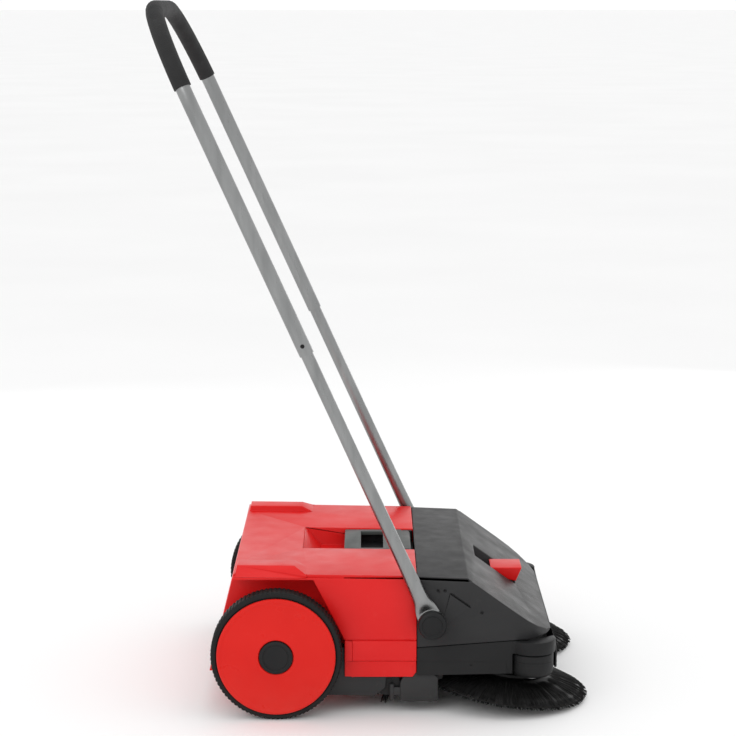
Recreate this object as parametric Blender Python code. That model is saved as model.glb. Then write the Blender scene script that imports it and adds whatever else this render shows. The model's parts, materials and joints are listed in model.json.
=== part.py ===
# Push carpet sweeper. Two large wheels drive a roller brush and two tilted disc brushes,
# which throw dirt back into a lift-out container.
# Metres, +X forward, +Y to the machine's left, +Z up, standing on Z = 0.
# All positions below are measured from the wheel axle's foot on the floor; one empty carries
# the whole machine, so that the model's origin is under the middle of its outer box.
import bpy
import bmesh
from math import atan, cos, hypot, pi, radians, sin, sqrt, tan
from mathutils import Matrix, Vector

# ---------------------------------------------------------------- driving dimensions
GAP = 0.0003                # touching faces
RUN = 0.0003                # a shaft in its bore, on the radius
WALL = 0.0030               # moulded walls
EDGE = 0.0045               # bevel along the top edges

# Across the machine, from the middle plane outwards.
INNER_HALF = 0.2050         # half width of the container's narrow lower box
ARM_CLEAR = 0.0045
ARM_THICK = 0.0040
BELT_SPACE = 0.0128
COVER_THICK = 0.0050
WHEEL_CLEAR = 0.0045
WHEEL_WIDTH = 0.0380
ARM_IN = INNER_HALF + ARM_CLEAR
ARM_OUT = ARM_IN + ARM_THICK
BELT_LOW = ARM_OUT + 0.0005
BELT_HIGH = BELT_LOW + BELT_SPACE
COVER_IN = BELT_HIGH + 0.0007
COVER_OUT = COVER_IN + COVER_THICK
GUARD_OUT = COVER_OUT + 0.0020
CURTAIN_IN = GUARD_OUT + 0.0005
BODY_HALF = CURTAIN_IN + 0.0065     # at the container's top edge
BODY_DRAFT = 0.0030                 # how much its sides lean in towards the foot
HOOD_HALF = BODY_HALF - 0.0010
WHEEL_IN = COVER_OUT + WHEEL_CLEAR
WHEEL_OUT = WHEEL_IN + WHEEL_WIDTH

WHEEL_R = 0.1000
WHEEL_SIDES = 32
DISC_FACE_R = WHEEL_R - 0.0095
DRUM_R = WHEEL_R - 0.0155
DRUM_WALL = 0.0045
AXLE_R = 0.0080
HUB_R = 0.0160
CAP_R = 0.0255

RING_TEETH = 24
PINION_TEETH = 8
RING_RIM = 0.0038
ROOT_DEPTH = 0.70           # tooth depth below and above the pitch line, in modules
TIP_HEIGHT = 0.50
GEAR_MODULE = (DRUM_R - DRUM_WALL - RING_RIM) / (RING_TEETH / 2.0 + ROOT_DEPTH)
GEAR_WIDTH = 0.0115
PINION_HUB_R = 0.0100
BELT_WIDTH = 0.0042
BELT_THICK = 0.0020
BELT_STEPS = 7
FLANGE = 0.0010
FLANGE_RISE = 0.0025
SMALL_PULLEY_R = 0.0140
ROLLER_PULLEY_R = 0.0180

ROLLER_R = 0.0455
ROLLER_Z = ROLLER_R + 0.0010
CORE_R = 0.0180
CORE_HALF = INNER_HALF - 0.0025
JOURNAL_R = 0.0080
BRISTLE_HALF = INNER_HALF - 0.0100

# The container, along and up.
TOP_REAR_X = -0.0655
TOP_REAR_Z = 2.0 * WHEEL_R + 0.0210
TOP_SPLIT_Z = TOP_REAR_Z - 0.0038
FOOT_REAR_X = TOP_REAR_X - 0.0405
CONTAINER_FOOT = 0.0580
LEDGE_Z = ROLLER_Z + ROLLER_R + 0.0080      # underside of the wide upper box
WELL_TOP = TOP_REAR_Z - 0.0095
CREASE_LEAN = radians(26.66)        # front edge of the wheel well, which just clears the tyre
CREASE_CLEAR = 0.0001
CREASE_FOOT_Z = LEDGE_Z - 0.0060


def crease_x(z):
    """Front edge of the wheel well at height z."""
    reach = WHEEL_R + CREASE_CLEAR - (z - WHEEL_R) * sin(CREASE_LEAN)
    return reach / cos(CREASE_LEAN)


CREASE_TOP_X = crease_x(WELL_TOP)
CREASE_FOOT_X = crease_x(CREASE_FOOT_Z)
SPLIT_X = CREASE_FOOT_X + 0.0988    # plane between container and hood
ROLLER_X = SPLIT_X - ROLLER_R - 0.0003
MOUTH_X = ROLLER_X - ROLLER_R - 0.0045      # the container's floor ends here
HUMP_WIDTH = 0.0555
HUMP_RISE = 0.0090
RECESS_HALF = 0.0700
RECESS_FLOOR = TOP_REAR_Z - 0.0310
HANDLE_REAR = SPLIT_X - 0.1123
RECESS_RAMP = HANDLE_REAR - 0.0395
RECESS_REAR = RECESS_RAMP - 0.0260
HANDLE_TOP = TOP_SPLIT_Z - 0.0007
HANDLE_THICK = 0.0070
HANDLE_HALF = RECESS_HALF - 0.0015
HANDLE_PIN_X = SPLIT_X - 0.0103
HANDLE_PIN_Z = HANDLE_TOP - 0.0055
HANDLE_PIN_R = 0.0025
WINDOW_REAR = HANDLE_REAR + 0.0265
WINDOW_FRONT = WINDOW_REAR + 0.0360
WINDOW_HALF = HANDLE_HALF - 0.0125
BED_THICK = 0.0060
BARREL_R = 0.0055
LUG_WIDTH = 0.0072

# The hood and the base under it.
HOOD_X = SPLIT_X + 0.0007
HOOD_TOP = TOP_SPLIT_Z - 0.0010
BREAK_X = HOOD_X + 0.0775
BREAK_Z = HOOD_TOP - 0.0032
DISC_Y = INNER_HALF - 0.0600
DISC_R = DISC_Y - 0.0130
DISC_TILT = radians(8.0)
DISC_X = SPLIT_X + 0.0085 + DISC_R * cos(DISC_TILT)
NOSE_X = DISC_X + 0.0715
SLOPE_END_X = NOSE_X - 0.0125
SLOPE_END_Z = 0.1265
NOSE_Z = 0.1176
PARTING_REAR = 0.1050
PARTING_FRONT = NOSE_Z - 0.0016
PARTING_X = NOSE_X - 0.0655
BASE_NOSE_X = NOSE_X + 0.0070
BASE_FOOT_REAR = 0.0610
BASE_FOOT_FRONT = 0.0640
DECK_LOW = 0.0665
DECK_TOP = DECK_LOW + 0.0035

DISC_SIDES = 24
BRISTLE_EDGE = 0.0050       # thickness of the disc bristles at their tips
DISC_PLATE_R = 0.0550
PLATE_LOW = 0.0240          # along the disc's own axis
PLATE_HIGH = 0.0320
DISC_SHAFT_R = 0.0080
SHAFT_Z = 0.1250
SHAFT_R = 0.0060
BEVEL_MODULE = 0.0030
BEVEL_TEETH = 20
BEVEL_PINION_TEETH = 10
BEVEL_KEEP = 0.60           # small end of the bevel teeth, as a share of the large end
SHAFT_IN = DISC_Y - 0.0460
OUTER_BEARING = DISC_Y + 0.0410

GUIDE_X = NOSE_X - 0.0325
GUIDE_Y = HOOD_HALF - 0.0225
GUIDE_R = 0.0330
GUIDE_LOW = 0.0580
GUIDE_HIGH = 0.0940
GUIDE_PIN_R = 0.0050

SUPPORT_X = HOOD_X + 0.0475
SUPPORT_R = 0.0190
SUPPORT_Z = SUPPORT_R + 0.0015
SUPPORT_HALF = 0.0210
STEM_HALF = 0.0045
SLEEVE_TOP = DECK_TOP + 0.0120

LEVER_X = BREAK_X + 0.0600
LEVER_Z = DECK_TOP + 0.0420
LEVER_HALF = 0.0290
LEVER_RISE = 0.0067         # top of the lever's head above the slope at the spindle
LEVER_NOSE_R = 0.0050
SPINDLE_R = 0.0040
POCKET_HALF = LEVER_HALF + 0.0070
POCKET_REAR = BREAK_X + 0.0200
POCKET_DEPTH = 0.0378

PIVOT_X = HOOD_X + 0.0225
PIVOT_Z = 0.1470
PIVOT_BOLT_R = 0.0060
PIVOT_BOSS_R = 0.0160
TUBE_LEAN = radians(65.5)   # above the horizontal, towards the rear
TUBE_SIDES = 12
LOWER_R = 0.0100
TUBE_Y = BODY_HALF + LOWER_R + 0.0005
UPPER_R = LOWER_R + 0.0013
TUBE_WALL = 0.0012
LOWER_END = 0.5300          # distances along the tube from the pivot
UPPER_START = LOWER_END - 0.0750
SCREW_AT = UPPER_START + 0.0150
SCREW_R = 0.0024
CROSSBAR_AT = 1.0127
BEND_R = 0.1450
GRIP_AT = CROSSBAR_AT - 0.1247
GRIP_R = 0.0135
EYE_R = 0.0215
EYE_THICK = 0.0050
PIVOT_CAP_R = 0.0220
PIVOT_CAP_OUT = TUBE_Y + 0.0185

SIDES = (("right", -1), ("left", 1))

# The outer box runs from the grip's crossbar to the front tips of the disc brushes.
FRONT_END = DISC_X + DISC_R * cos(DISC_TILT) + BRISTLE_EDGE * sin(DISC_TILT)
REAR_END = PIVOT_X - CROSSBAR_AT * cos(TUBE_LEAN) - GRIP_R
AXLE_BEHIND = (FRONT_END + REAR_END) / 2.0

FINISHES = {
    "red": ((0.62, 0.015, 0.012), 0.38, 0.0),
    "wheel_red": ((0.78, 0.045, 0.012), 0.42, 0.0),
    "black": ((0.022, 0.022, 0.023), 0.45, 0.0),
    "hood": ((0.045, 0.045, 0.047), 0.55, 0.0),
    "grey": ((0.16, 0.16, 0.16), 0.50, 0.0),
    "rubber": ((0.018, 0.018, 0.018), 0.80, 0.0),
    "foam": ((0.020, 0.020, 0.021), 0.90, 0.0),
    "bristle": ((0.012, 0.012, 0.012), 0.85, 0.0),
    "steel": ((0.55, 0.56, 0.57), 0.30, 1.0),
    "white": ((0.62, 0.60, 0.55), 0.45, 0.0),
}


# ---------------------------------------------------------------- tools
def clear_scene():
    for item in list(bpy.data.objects):
        bpy.data.objects.remove(item, do_unlink=True)


def make_frame():
    empty = bpy.data.objects.new("sweeper_frame", None)
    bpy.context.scene.collection.objects.link(empty)
    empty.location = (-AXLE_BEHIND, 0.0, 0.0)
    return empty


def finish_material(name, finish):
    color, roughness, metallic = FINISHES[finish]
    material = bpy.data.materials.new(name)
    material.use_nodes = True
    shader = material.node_tree.nodes["Principled BSDF"]
    shader.inputs["Base Color"].default_value = (*color, 1.0)
    shader.inputs["Roughness"].default_value = roughness
    shader.inputs["Metallic"].default_value = metallic
    return material


def place(name, bm, location=(0.0, 0.0, 0.0), turn=(0.0, 0.0, 0.0)):
    """Make an object of a closed bmesh; its origin is at location in the machine's frame."""
    bmesh.ops.remove_doubles(bm, verts=bm.verts, dist=1e-6)
    bmesh.ops.recalc_face_normals(bm, faces=bm.faces)
    mesh = bpy.data.meshes.new(name)
    bm.to_mesh(mesh)
    bm.free()
    item = bpy.data.objects.new(name, mesh)
    bpy.context.scene.collection.objects.link(item)
    item.parent = FRAME
    item.location = location
    item.rotation_euler = turn
    return item


def node(name, bm, finish, location=(0.0, 0.0, 0.0), turn=(0.0, 0.0, 0.0), smooth=False):
    item = place(name, bm, location, turn)
    item.data.materials.append(finish_material(name, finish))
    if smooth:
        round_off(item)
    return item


def round_off(item):
    for polygon in item.data.polygons:
        polygon.use_smooth = True
    item.data.set_sharp_from_angle(angle=radians(35.0))


def combine(item, bm, operation="DIFFERENCE", location=(0.0, 0.0, 0.0), turn=(0.0, 0.0, 0.0)):
    """Cut a bmesh from an object, join it on, or keep what both share."""
    tool = place("tool", bm, location, turn)
    tool.hide_render = True
    tool.display_type = "WIRE"
    modifier = item.modifiers.new("shape", "BOOLEAN")
    modifier.operation = operation
    modifier.solver = "EXACT"
    modifier.object = tool
    bpy.context.view_layer.update()
    graph = bpy.context.evaluated_depsgraph_get()
    shaped = bpy.data.meshes.new_from_object(item.evaluated_get(graph))
    item.modifiers.clear()
    item.data = shaped
    bpy.data.objects.remove(tool, do_unlink=True)


def prism(outline, low, high, along="Y"):
    """Extrude an outline: (x, z) points along Y, (x, y) along Z or (y, z) along X."""
    bm = bmesh.new()
    rings = []
    for level in (low, high):
        ring = []
        for a, b in outline:
            spot = {"Y": (a, level, b), "Z": (a, b, level), "X": (level, a, b)}[along]
            ring.append(bm.verts.new(spot))
        rings.append(ring)
    bm.faces.new(rings[0])
    bm.faces.new(rings[1])
    for i in range(len(outline)):
        j = (i + 1) % len(outline)
        bm.faces.new((rings[0][i], rings[0][j], rings[1][j], rings[1][i]))
    return bm


def box(x0, x1, y0, y1, z0, z1):
    return prism(((x0, z0), (x1, z0), (x1, z1), (x0, z1)), y0, y1)


def turned(profile, segments, along="Y", side=1):
    """Turn a closed (radius, height) profile about an axis."""
    bm = bmesh.new()
    rings = []
    for radius, height in profile:
        ring = []
        count = 1 if radius == 0.0 else segments
        for i in range(count):
            a = 2.0 * pi * i / segments
            u, v, w = radius * cos(a), radius * sin(a), height * side
            ring.append(bm.verts.new((u, w, v) if along == "Y" else (u, v, w)))
        rings.append(ring)
    for k in range(len(rings)):
        one, two = rings[k], rings[(k + 1) % len(rings)]
        if len(one) == 1 and len(two) == 1:
            continue
        for i in range(segments):
            j = (i + 1) % segments
            corners = [one[i % len(one)], one[j % len(one)], two[j % len(two)], two[i % len(two)]]
            bm.faces.new(list(dict.fromkeys(corners)))
    return bm


def rod(radius, low, high, segments=16, along="Y", side=1):
    return turned(((0.0, low), (radius, low), (radius, high), (0.0, high)), segments, along, side)


def toothed(teeth, root, tip, root_share=0.31, tip_share=0.16):
    """Outline of a gear: four points a tooth, the first tooth centred on angle 0."""
    points = []
    pitch = 2.0 * pi / teeth
    for i in range(teeth):
        middle = i * pitch
        for radius, share in ((root, -root_share), (tip, -tip_share), (tip, tip_share), (root, root_share)):
            a = middle + share * pitch
            points.append((radius * cos(a), radius * sin(a)))
    return points


def turn_points(points, angle):
    return [(x * cos(angle) - y * sin(angle), x * sin(angle) + y * cos(angle)) for x, y in points]


def loft(rings):
    """Closed body through rings of equal count, each a list of points."""
    bm = bmesh.new()
    rows = [[bm.verts.new(point) for point in ring] for ring in rings]
    count = len(rows[0])
    for one, two in zip(rows, rows[1:]):
        for i in range(count):
            j = (i + 1) % count
            bm.faces.new((one[i], one[j], two[j], two[i]))
    bm.faces.new(rows[0])
    bm.faces.new(rows[-1])
    return bm


def pipe(route, outer, inner, sides):
    """Hollow tube along a route that lies in a plane through the Y axis, open at both ends."""
    bm = bmesh.new()
    across = (route[1] - route[0]).cross(route[len(route) // 2] - route[0]).normalized()
    rows = []
    for k, point in enumerate(route):
        before = route[max(k - 1, 0)]
        after = route[min(k + 1, len(route) - 1)]
        ahead = (after - before).normalized()
        out = ahead.cross(across).normalized()
        pair = []
        for radius in (outer, inner):
            ring = []
            for i in range(sides):
                a = 2.0 * pi * i / sides
                ring.append(bm.verts.new(point + radius * (cos(a) * out + sin(a) * across)))
            pair.append(ring)
        rows.append(pair)
    for one, two in zip(rows, rows[1:]):
        for layer in (0, 1):
            for i in range(sides):
                j = (i + 1) % sides
                bm.faces.new((one[layer][i], one[layer][j], two[layer][j], two[layer][i]))
    for row in (rows[0], rows[-1]):
        for i in range(sides):
            j = (i + 1) % sides
            bm.faces.new((row[0][i], row[0][j], row[1][j], row[1][i]))
    return bm


def belt_outline(one, two, grow):
    """Outline round two pulleys, each (x, z, radius), with the radii grown by grow."""
    (x1, z1, r1), (x2, z2, r2) = one, two
    r1, r2 = r1 + grow, r2 + grow
    away = Vector((x2 - x1, z2 - z1))
    lean = (r1 - r2) / away.length
    ahead = away.normalized()
    points = []
    for (x, z, r), start in (((x2, z2, r2), -1.0), ((x1, z1, r1), 1.0)):
        half = (pi / 2.0 - lean) if start < 0.0 else (pi / 2.0 + lean)
        facing = ahead if start < 0.0 else -ahead
        clear = r / cos(half / BELT_STEPS)
        for i in range(BELT_STEPS + 1):
            a = -half + 2.0 * half * i / BELT_STEPS
            d = Vector((facing.x * cos(a) - facing.y * sin(a), facing.x * sin(a) + facing.y * cos(a)))
            points.append((x + clear * d.x, z + clear * d.y))
    return points


def ring_between(outer, inner, low, high):
    """Band between two outlines of equal count in the XZ plane, from low to high along Y."""
    bm = bmesh.new()
    rows = []
    for outline in (outer, inner):
        for level in (low, high):
            rows.append([bm.verts.new((x, level, z)) for x, z in outline])
    order = (rows[0], rows[1], rows[3], rows[2])
    count = len(outer)
    for k in range(4):
        one, two = order[k], order[(k + 1) % 4]
        for i in range(count):
            j = (i + 1) % count
            bm.faces.new((one[i], one[j], two[j], two[i]))
    return bm


def sided(side, low, high):
    """Two distances from the middle plane as Y values on one side, lower first."""
    return (low, high) if side > 0 else (-high, -low)


def slope_z(x):
    """Height of the hood's front slope."""
    fall = (BREAK_Z - SLOPE_END_Z) / (SLOPE_END_X - BREAK_X)
    return BREAK_Z - (x - BREAK_X) * fall


def mirrored(half):
    """Plan outline from its left half, front to rear."""
    return list(half) + [(x, -y) for x, y in reversed(half)]


# ---------------------------------------------------------------- wheels and their gears
def pinion_place():
    apart = GEAR_MODULE * (RING_TEETH - PINION_TEETH) / 2.0
    return apart, WHEEL_R


def make_wheel(word, side):
    centre = (0.0, 0.0, WHEEL_R)
    tyre_out = WHEEL_OUT - 0.0050
    tyre = (
        (DRUM_R + GAP, WHEEL_IN - 0.0005),
        (WHEEL_R - 0.0045, WHEEL_IN - 0.0005),
        (WHEEL_R, WHEEL_IN + 0.0040),
        (WHEEL_R, tyre_out - 0.0040),
        (WHEEL_R - 0.0035, tyre_out),
        (DRUM_R + GAP, tyre_out),
    )
    node("tyre_" + word, turned(tyre, WHEEL_SIDES, side=side), "rubber", centre, smooth=True)
    flange = tyre_out + GAP
    seat = WHEEL_OUT - 0.0050
    disc = (
        (AXLE_R + RUN, WHEEL_IN + 0.0030),
        (HUB_R, WHEEL_IN + 0.0030),
        (HUB_R, WHEEL_IN + 0.0230),
        (DRUM_R - DRUM_WALL, WHEEL_IN + 0.0230),
        (DRUM_R - DRUM_WALL, WHEEL_IN),
        (DRUM_R, WHEEL_IN),
        (DRUM_R, flange),
        (DISC_FACE_R, flange),
        (DISC_FACE_R, WHEEL_OUT - 0.0025),
        (DISC_FACE_R - 0.0025, WHEEL_OUT),
        (CAP_R + 0.0007, WHEEL_OUT),
        (CAP_R + 0.0007, seat),
        (AXLE_R + RUN, seat),
    )
    node("wheel_disc_" + word, turned(disc, WHEEL_SIDES, side=side), "wheel_red", centre, smooth=True)
    cap = (
        (0.0, seat + GAP),
        (CAP_R, seat + GAP),
        (CAP_R, WHEEL_OUT + 0.0010),
        (CAP_R - 0.0020, WHEEL_OUT + 0.0030),
        (0.0, WHEEL_OUT + 0.0030),
    )
    node("hub_cap_" + word, turned(cap, 20, side=side), "black", centre, smooth=True)
    axle = (
        (0.0, ARM_IN - 0.0035),
        (AXLE_R + 0.0040, ARM_IN - 0.0035),
        (AXLE_R + 0.0040, ARM_IN - GAP),
        (AXLE_R, ARM_IN - GAP),
        (AXLE_R, seat - 0.0005),
        (0.0, seat - 0.0005),
    )
    node("wheel_axle_" + word, turned(axle, 16, side=side), "steel", centre, smooth=True)


def make_ring_gear(word, side):
    """Internal gear pressed into the wheel's drum, with a tooth on the line to its pinion."""
    pitch_r = GEAR_MODULE * RING_TEETH / 2.0
    low, high = sided(side, WHEEL_IN + 0.0005, WHEEL_IN + 0.0005 + GEAR_WIDTH)
    centre = (0.0, 0.0, WHEEL_R)
    item = node("ring_gear_" + word, rod(DRUM_R - DRUM_WALL - GAP, low, high, WHEEL_SIDES), "white", centre)
    teeth = toothed(RING_TEETH, pitch_r + ROOT_DEPTH * GEAR_MODULE, pitch_r - TIP_HEIGHT * GEAR_MODULE)
    combine(item, prism(teeth, low - 0.01, high + 0.01), location=centre)


def pulley_profile(radius, low, high, bore=0.0):
    """Flanged pulley round an axis; the belt runs between low + FLANGE and high - FLANGE."""
    edge = radius + FLANGE_RISE
    return (
        (bore, low),
        (edge, low),
        (edge, low + FLANGE),
        (radius, low + FLANGE),
        (radius, high - FLANGE),
        (edge, high - FLANGE),
        (edge, high),
        (bore, high),
    )


def rear_belt_span():
    low = BELT_LOW
    return low, low + 2.0 * FLANGE + BELT_WIDTH + 2.0 * GAP


def front_belt_span():
    high = BELT_HIGH
    return high - 2.0 * FLANGE - BELT_WIDTH - 2.0 * GAP, high


def make_pinion(word, side):
    """Moulded pinion, hub, belt pulley and journal in one piece."""
    x, z = pinion_place()
    low, high = rear_belt_span()
    edge = SMALL_PULLEY_R + FLANGE_RISE
    gear_low = WHEEL_IN + 0.0005
    gear_high = gear_low + GEAR_WIDTH
    pitch_r = GEAR_MODULE * PINION_TEETH / 2.0
    root = pitch_r - ROOT_DEPTH * GEAR_MODULE
    shape = (
        (0.0, ARM_IN),
        (SHAFT_R, ARM_IN),
        (SHAFT_R, low),
        (edge, low),
        (edge, low + FLANGE),
        (SMALL_PULLEY_R, low + FLANGE),
        (SMALL_PULLEY_R, high - FLANGE),
        (edge, high - FLANGE),
        (edge, high),
        (PINION_HUB_R, high),
        (PINION_HUB_R, gear_low + 0.0020),
        (0.0, gear_low + 0.0020),
    )
    item = node("drive_pinion_" + word, turned(shape, 16, side=side), "white", (x, 0.0, z))
    half_tooth = pi / PINION_TEETH
    outline = turn_points(toothed(PINION_TEETH, root, pitch_r + TIP_HEIGHT * GEAR_MODULE), half_tooth)
    y0, y1 = sided(side, gear_low, gear_high)
    combine(item, prism(outline, y0, y1), "UNION", (x, 0.0, z))


# ---------------------------------------------------------------- side arms and covers
def arm_outline(grow=0.0):
    """Side arm behind the wheel, from its tail to the roller; grow moves its edges outward."""
    x_pin, z_axle = pinion_place()
    g = grow
    return [
        (-0.0300 - g, ROLLER_Z - 0.0165 - g),
        (ROLLER_X - 0.0180, ROLLER_Z - 0.0205 - g),
        (ROLLER_X - 0.0020 + g, ROLLER_Z - 0.0065),
        (ROLLER_X + 0.0020 + g, LEDGE_Z - 0.0100),
        (x_pin + 0.0600, LEDGE_Z - 0.0015 + g),
        (x_pin + 0.0120, z_axle + 0.0300 + g),
        (x_pin - 0.0180, z_axle + 0.0300 + g),
        (0.0, z_axle + 0.0240 + g),
        (-0.0240 - g, z_axle + 0.0100 + g),
    ]


def make_side_arm(word, side):
    """Inner side plate: carries the wheel axle, the pinion and the roller, bolted to the deck."""
    x_pin, z_axle = pinion_place()
    outline = arm_outline()
    deck = DECK_LOW - GAP
    nose = [
        outline[1],
        (ROLLER_X + 0.0120, ROLLER_Z - 0.0225),
        (HOOD_X + 0.0405, ROLLER_Z + 0.0015),
        (HOOD_X + 0.0405, deck),
        (SPLIT_X - 0.0010, deck),
        (SPLIT_X - 0.0010, LEDGE_Z - 0.0100),
        outline[3],
    ]
    plate = [outline[0]] + nose + outline[4:]
    y0, y1 = sided(side, ARM_IN, ARM_OUT)
    item = node("side_arm_" + word, prism(plate, y0, y1), "black")
    y0, y1 = sided(side, ARM_IN - 0.01, ARM_OUT + 0.01)
    for x, z, radius in ((0.0, z_axle, AXLE_R), (x_pin, z_axle, SHAFT_R), (ROLLER_X, ROLLER_Z, JOURNAL_R)):
        combine(item, rod(radius + RUN, y0, y1), location=(x, 0.0, z))


def make_drive_cover(word, side):
    """Outer cover of the belt space: a shallow dish whose front end is open for the belts."""
    x_pin, z_axle = pinion_place()
    y0, y1 = sided(side, ARM_OUT + GAP, COVER_OUT)
    item = node("drive_cover_" + word, prism(arm_outline(), y0, y1), "grey")
    hollow = arm_outline(-WALL)
    hollow[2] = (SPLIT_X, ROLLER_Z - 0.0165)
    hollow[3] = (SPLIT_X, LEDGE_Z - 0.0120)
    y0, y1 = sided(side, ARM_OUT - 0.01, COVER_IN)
    combine(item, prism(hollow, y0, y1))
    y0, y1 = sided(side, COVER_IN - 0.01, COVER_OUT + 0.01)
    for x, radius in ((0.0, AXLE_R), (x_pin, PINION_HUB_R)):
        combine(item, rod(radius + RUN, y0, y1), location=(x, 0.0, z_axle))


def make_belt_guard(word, side):
    """Block outside the front belt, with the small upright post behind it."""
    rear = ROLLER_X + 0.0210
    front = HOOD_X + 0.0325
    low = ROLLER_Z - 0.0285
    deck = DECK_LOW - GAP
    outline = [
        (rear, low + 0.0020),
        (rear + 0.0040, low),
        (front - 0.0030, low),
        (front, low + 0.0030),
        (front, deck - 0.0102),
        (front - 0.0110, deck),
        (rear + 0.0090, deck),
        (rear, deck - 0.0182),
    ]
    y0, y1 = sided(side, COVER_IN, GUARD_OUT)
    item = node("belt_guard_" + word, prism(outline, y0, y1), "grey")
    web = box(rear - 0.0130, rear + 0.0010, y0 + 0.0015, y1 - 0.0015, low + 0.0090, low + 0.0220)
    combine(item, web, "UNION")
    post = rod(0.0040, low + 0.0015, low + 0.0275, 12, along="Z")
    combine(item, post, "UNION", (rear - 0.0130, (y0 + y1) / 2.0, 0.0))


def make_belts(word, side):
    x_pin, z_axle = pinion_place()
    small = (x_pin, z_axle, SMALL_PULLEY_R)
    roller = (ROLLER_X, ROLLER_Z, ROLLER_PULLEY_R)
    front = (shaft_x(), SHAFT_Z, SMALL_PULLEY_R)
    for name, one, two, span in (
        ("rear_belt_", small, roller, rear_belt_span()),
        ("front_belt_", roller, front, front_belt_span()),
    ):
        low = span[0] + FLANGE + GAP
        y0, y1 = sided(side, low, low + BELT_WIDTH)
        outer = belt_outline(one, two, GAP + BELT_THICK)
        inner = belt_outline(one, two, GAP)
        node(name + word, ring_between(outer, inner, y0, y1), "rubber")


# ---------------------------------------------------------------- roller brush
def make_roller():
    centre = (ROLLER_X, 0.0, ROLLER_Z)
    end = BELT_HIGH
    core = (
        (0.0, -end),
        (JOURNAL_R, -end),
        (JOURNAL_R, -CORE_HALF),
        (CORE_R, -CORE_HALF),
        (CORE_R, CORE_HALF),
        (JOURNAL_R, CORE_HALF),
        (JOURNAL_R, end),
        (0.0, end),
    )
    node("roller_core", turned(core, 16), "black", centre, smooth=True)
    inner = CORE_R + GAP
    band = (
        (inner, -BRISTLE_HALF),
        (ROLLER_R, -BRISTLE_HALF),
        (ROLLER_R, BRISTLE_HALF),
        (inner, BRISTLE_HALF),
    )
    node("roller_bristles", turned(band, 28), "bristle", centre, smooth=True)
    for word, side in SIDES:
        rear_low, rear_high = rear_belt_span()
        front_low, front_high = front_belt_span()
        bore = JOURNAL_R + GAP
        edge = ROLLER_PULLEY_R + FLANGE_RISE
        profile = (
            (bore, rear_low),
            (edge, rear_low),
            (edge, rear_low + FLANGE),
            (ROLLER_PULLEY_R, rear_low + FLANGE),
            (ROLLER_PULLEY_R, rear_high - FLANGE),
            (edge, rear_high - FLANGE),
            (edge, front_low + FLANGE),
            (ROLLER_PULLEY_R, front_low + FLANGE),
            (ROLLER_PULLEY_R, front_high - FLANGE),
            (edge, front_high - FLANGE),
            (edge, front_high),
            (bore, front_high),
        )
        node("roller_pulley_" + word, turned(profile, 16, side=side), "white", centre, smooth=True)


# ---------------------------------------------------------------- disc brushes and front shafts
def disc_foot_z():
    """Height of the middle of the bristle tips; the front tips touch the floor."""
    return DISC_R * sin(DISC_TILT)


def shaft_x():
    """The front shafts cross the disc axes at height SHAFT_Z."""
    return DISC_X + (SHAFT_Z - disc_foot_z()) * tan(DISC_TILT)


def apex_up():
    """Distance along the disc axis from the bristle tips' middle to the front shaft."""
    return (SHAFT_Z - disc_foot_z()) / cos(DISC_TILT)


def bevel(teeth, mate_teeth, phase):
    """Outlines of a bevel gear's large and small ends, and their distances from the apex."""
    pitch_r = BEVEL_MODULE * teeth / 2.0
    reach = BEVEL_MODULE * mate_teeth / 2.0
    steep = cos(atan(pitch_r / reach))
    large = toothed(teeth, pitch_r - 0.80 * BEVEL_MODULE / steep, pitch_r + 0.50 * BEVEL_MODULE / steep)
    large = turn_points(large, phase)
    small = [(a * BEVEL_KEEP, b * BEVEL_KEEP) for a, b in large]
    return large, small, reach, reach * BEVEL_KEEP


def make_disc_brush(word, side):
    """Everything here is built along its own +Z and then tilted forward."""
    centre = (DISC_X, side * DISC_Y, disc_foot_z())
    turn = (0.0, DISC_TILT, 0.0)
    bore = DISC_SHAFT_R + GAP
    plate = (
        (bore, PLATE_LOW),
        (DISC_PLATE_R, PLATE_LOW),
        (DISC_PLATE_R, PLATE_HIGH),
        (0.0180, PLATE_HIGH),
        (0.0180, PLATE_HIGH + 0.0100),
        (bore, PLATE_HIGH + 0.0100),
    )
    node("disc_plate_" + word, turned(plate, DISC_SIDES, "Z"), "black", centre, turn, True)
    rim = DISC_PLATE_R + GAP
    bristles = (
        (rim, PLATE_LOW - 0.0040),
        (rim, PLATE_HIGH),
        (rim + 0.0060, PLATE_HIGH),
        (DISC_R, BRISTLE_EDGE),
        (DISC_R, 0.0),
        (DISC_R - 0.0260, 0.0),
    )
    node("disc_bristles_" + word, turned(bristles, DISC_SIDES, "Z"), "bristle", centre, turn, True)
    large, small, far, near = bevel(BEVEL_TEETH, BEVEL_PINION_TEETH, -side * pi / 2.0 + pi / BEVEL_TEETH)
    top = apex_up()
    rings = [[Vector((a, b, top - far)) for a, b in large], [Vector((a, b, top - near)) for a, b in small]]
    item = node("bevel_gear_" + word, loft(rings), "white", centre, turn)
    shaft_low = PLATE_LOW + 0.0010
    combine(item, rod(DISC_SHAFT_R, shaft_low, top - far + 0.0010, 16, "Z"), "UNION", centre, turn)


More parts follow.
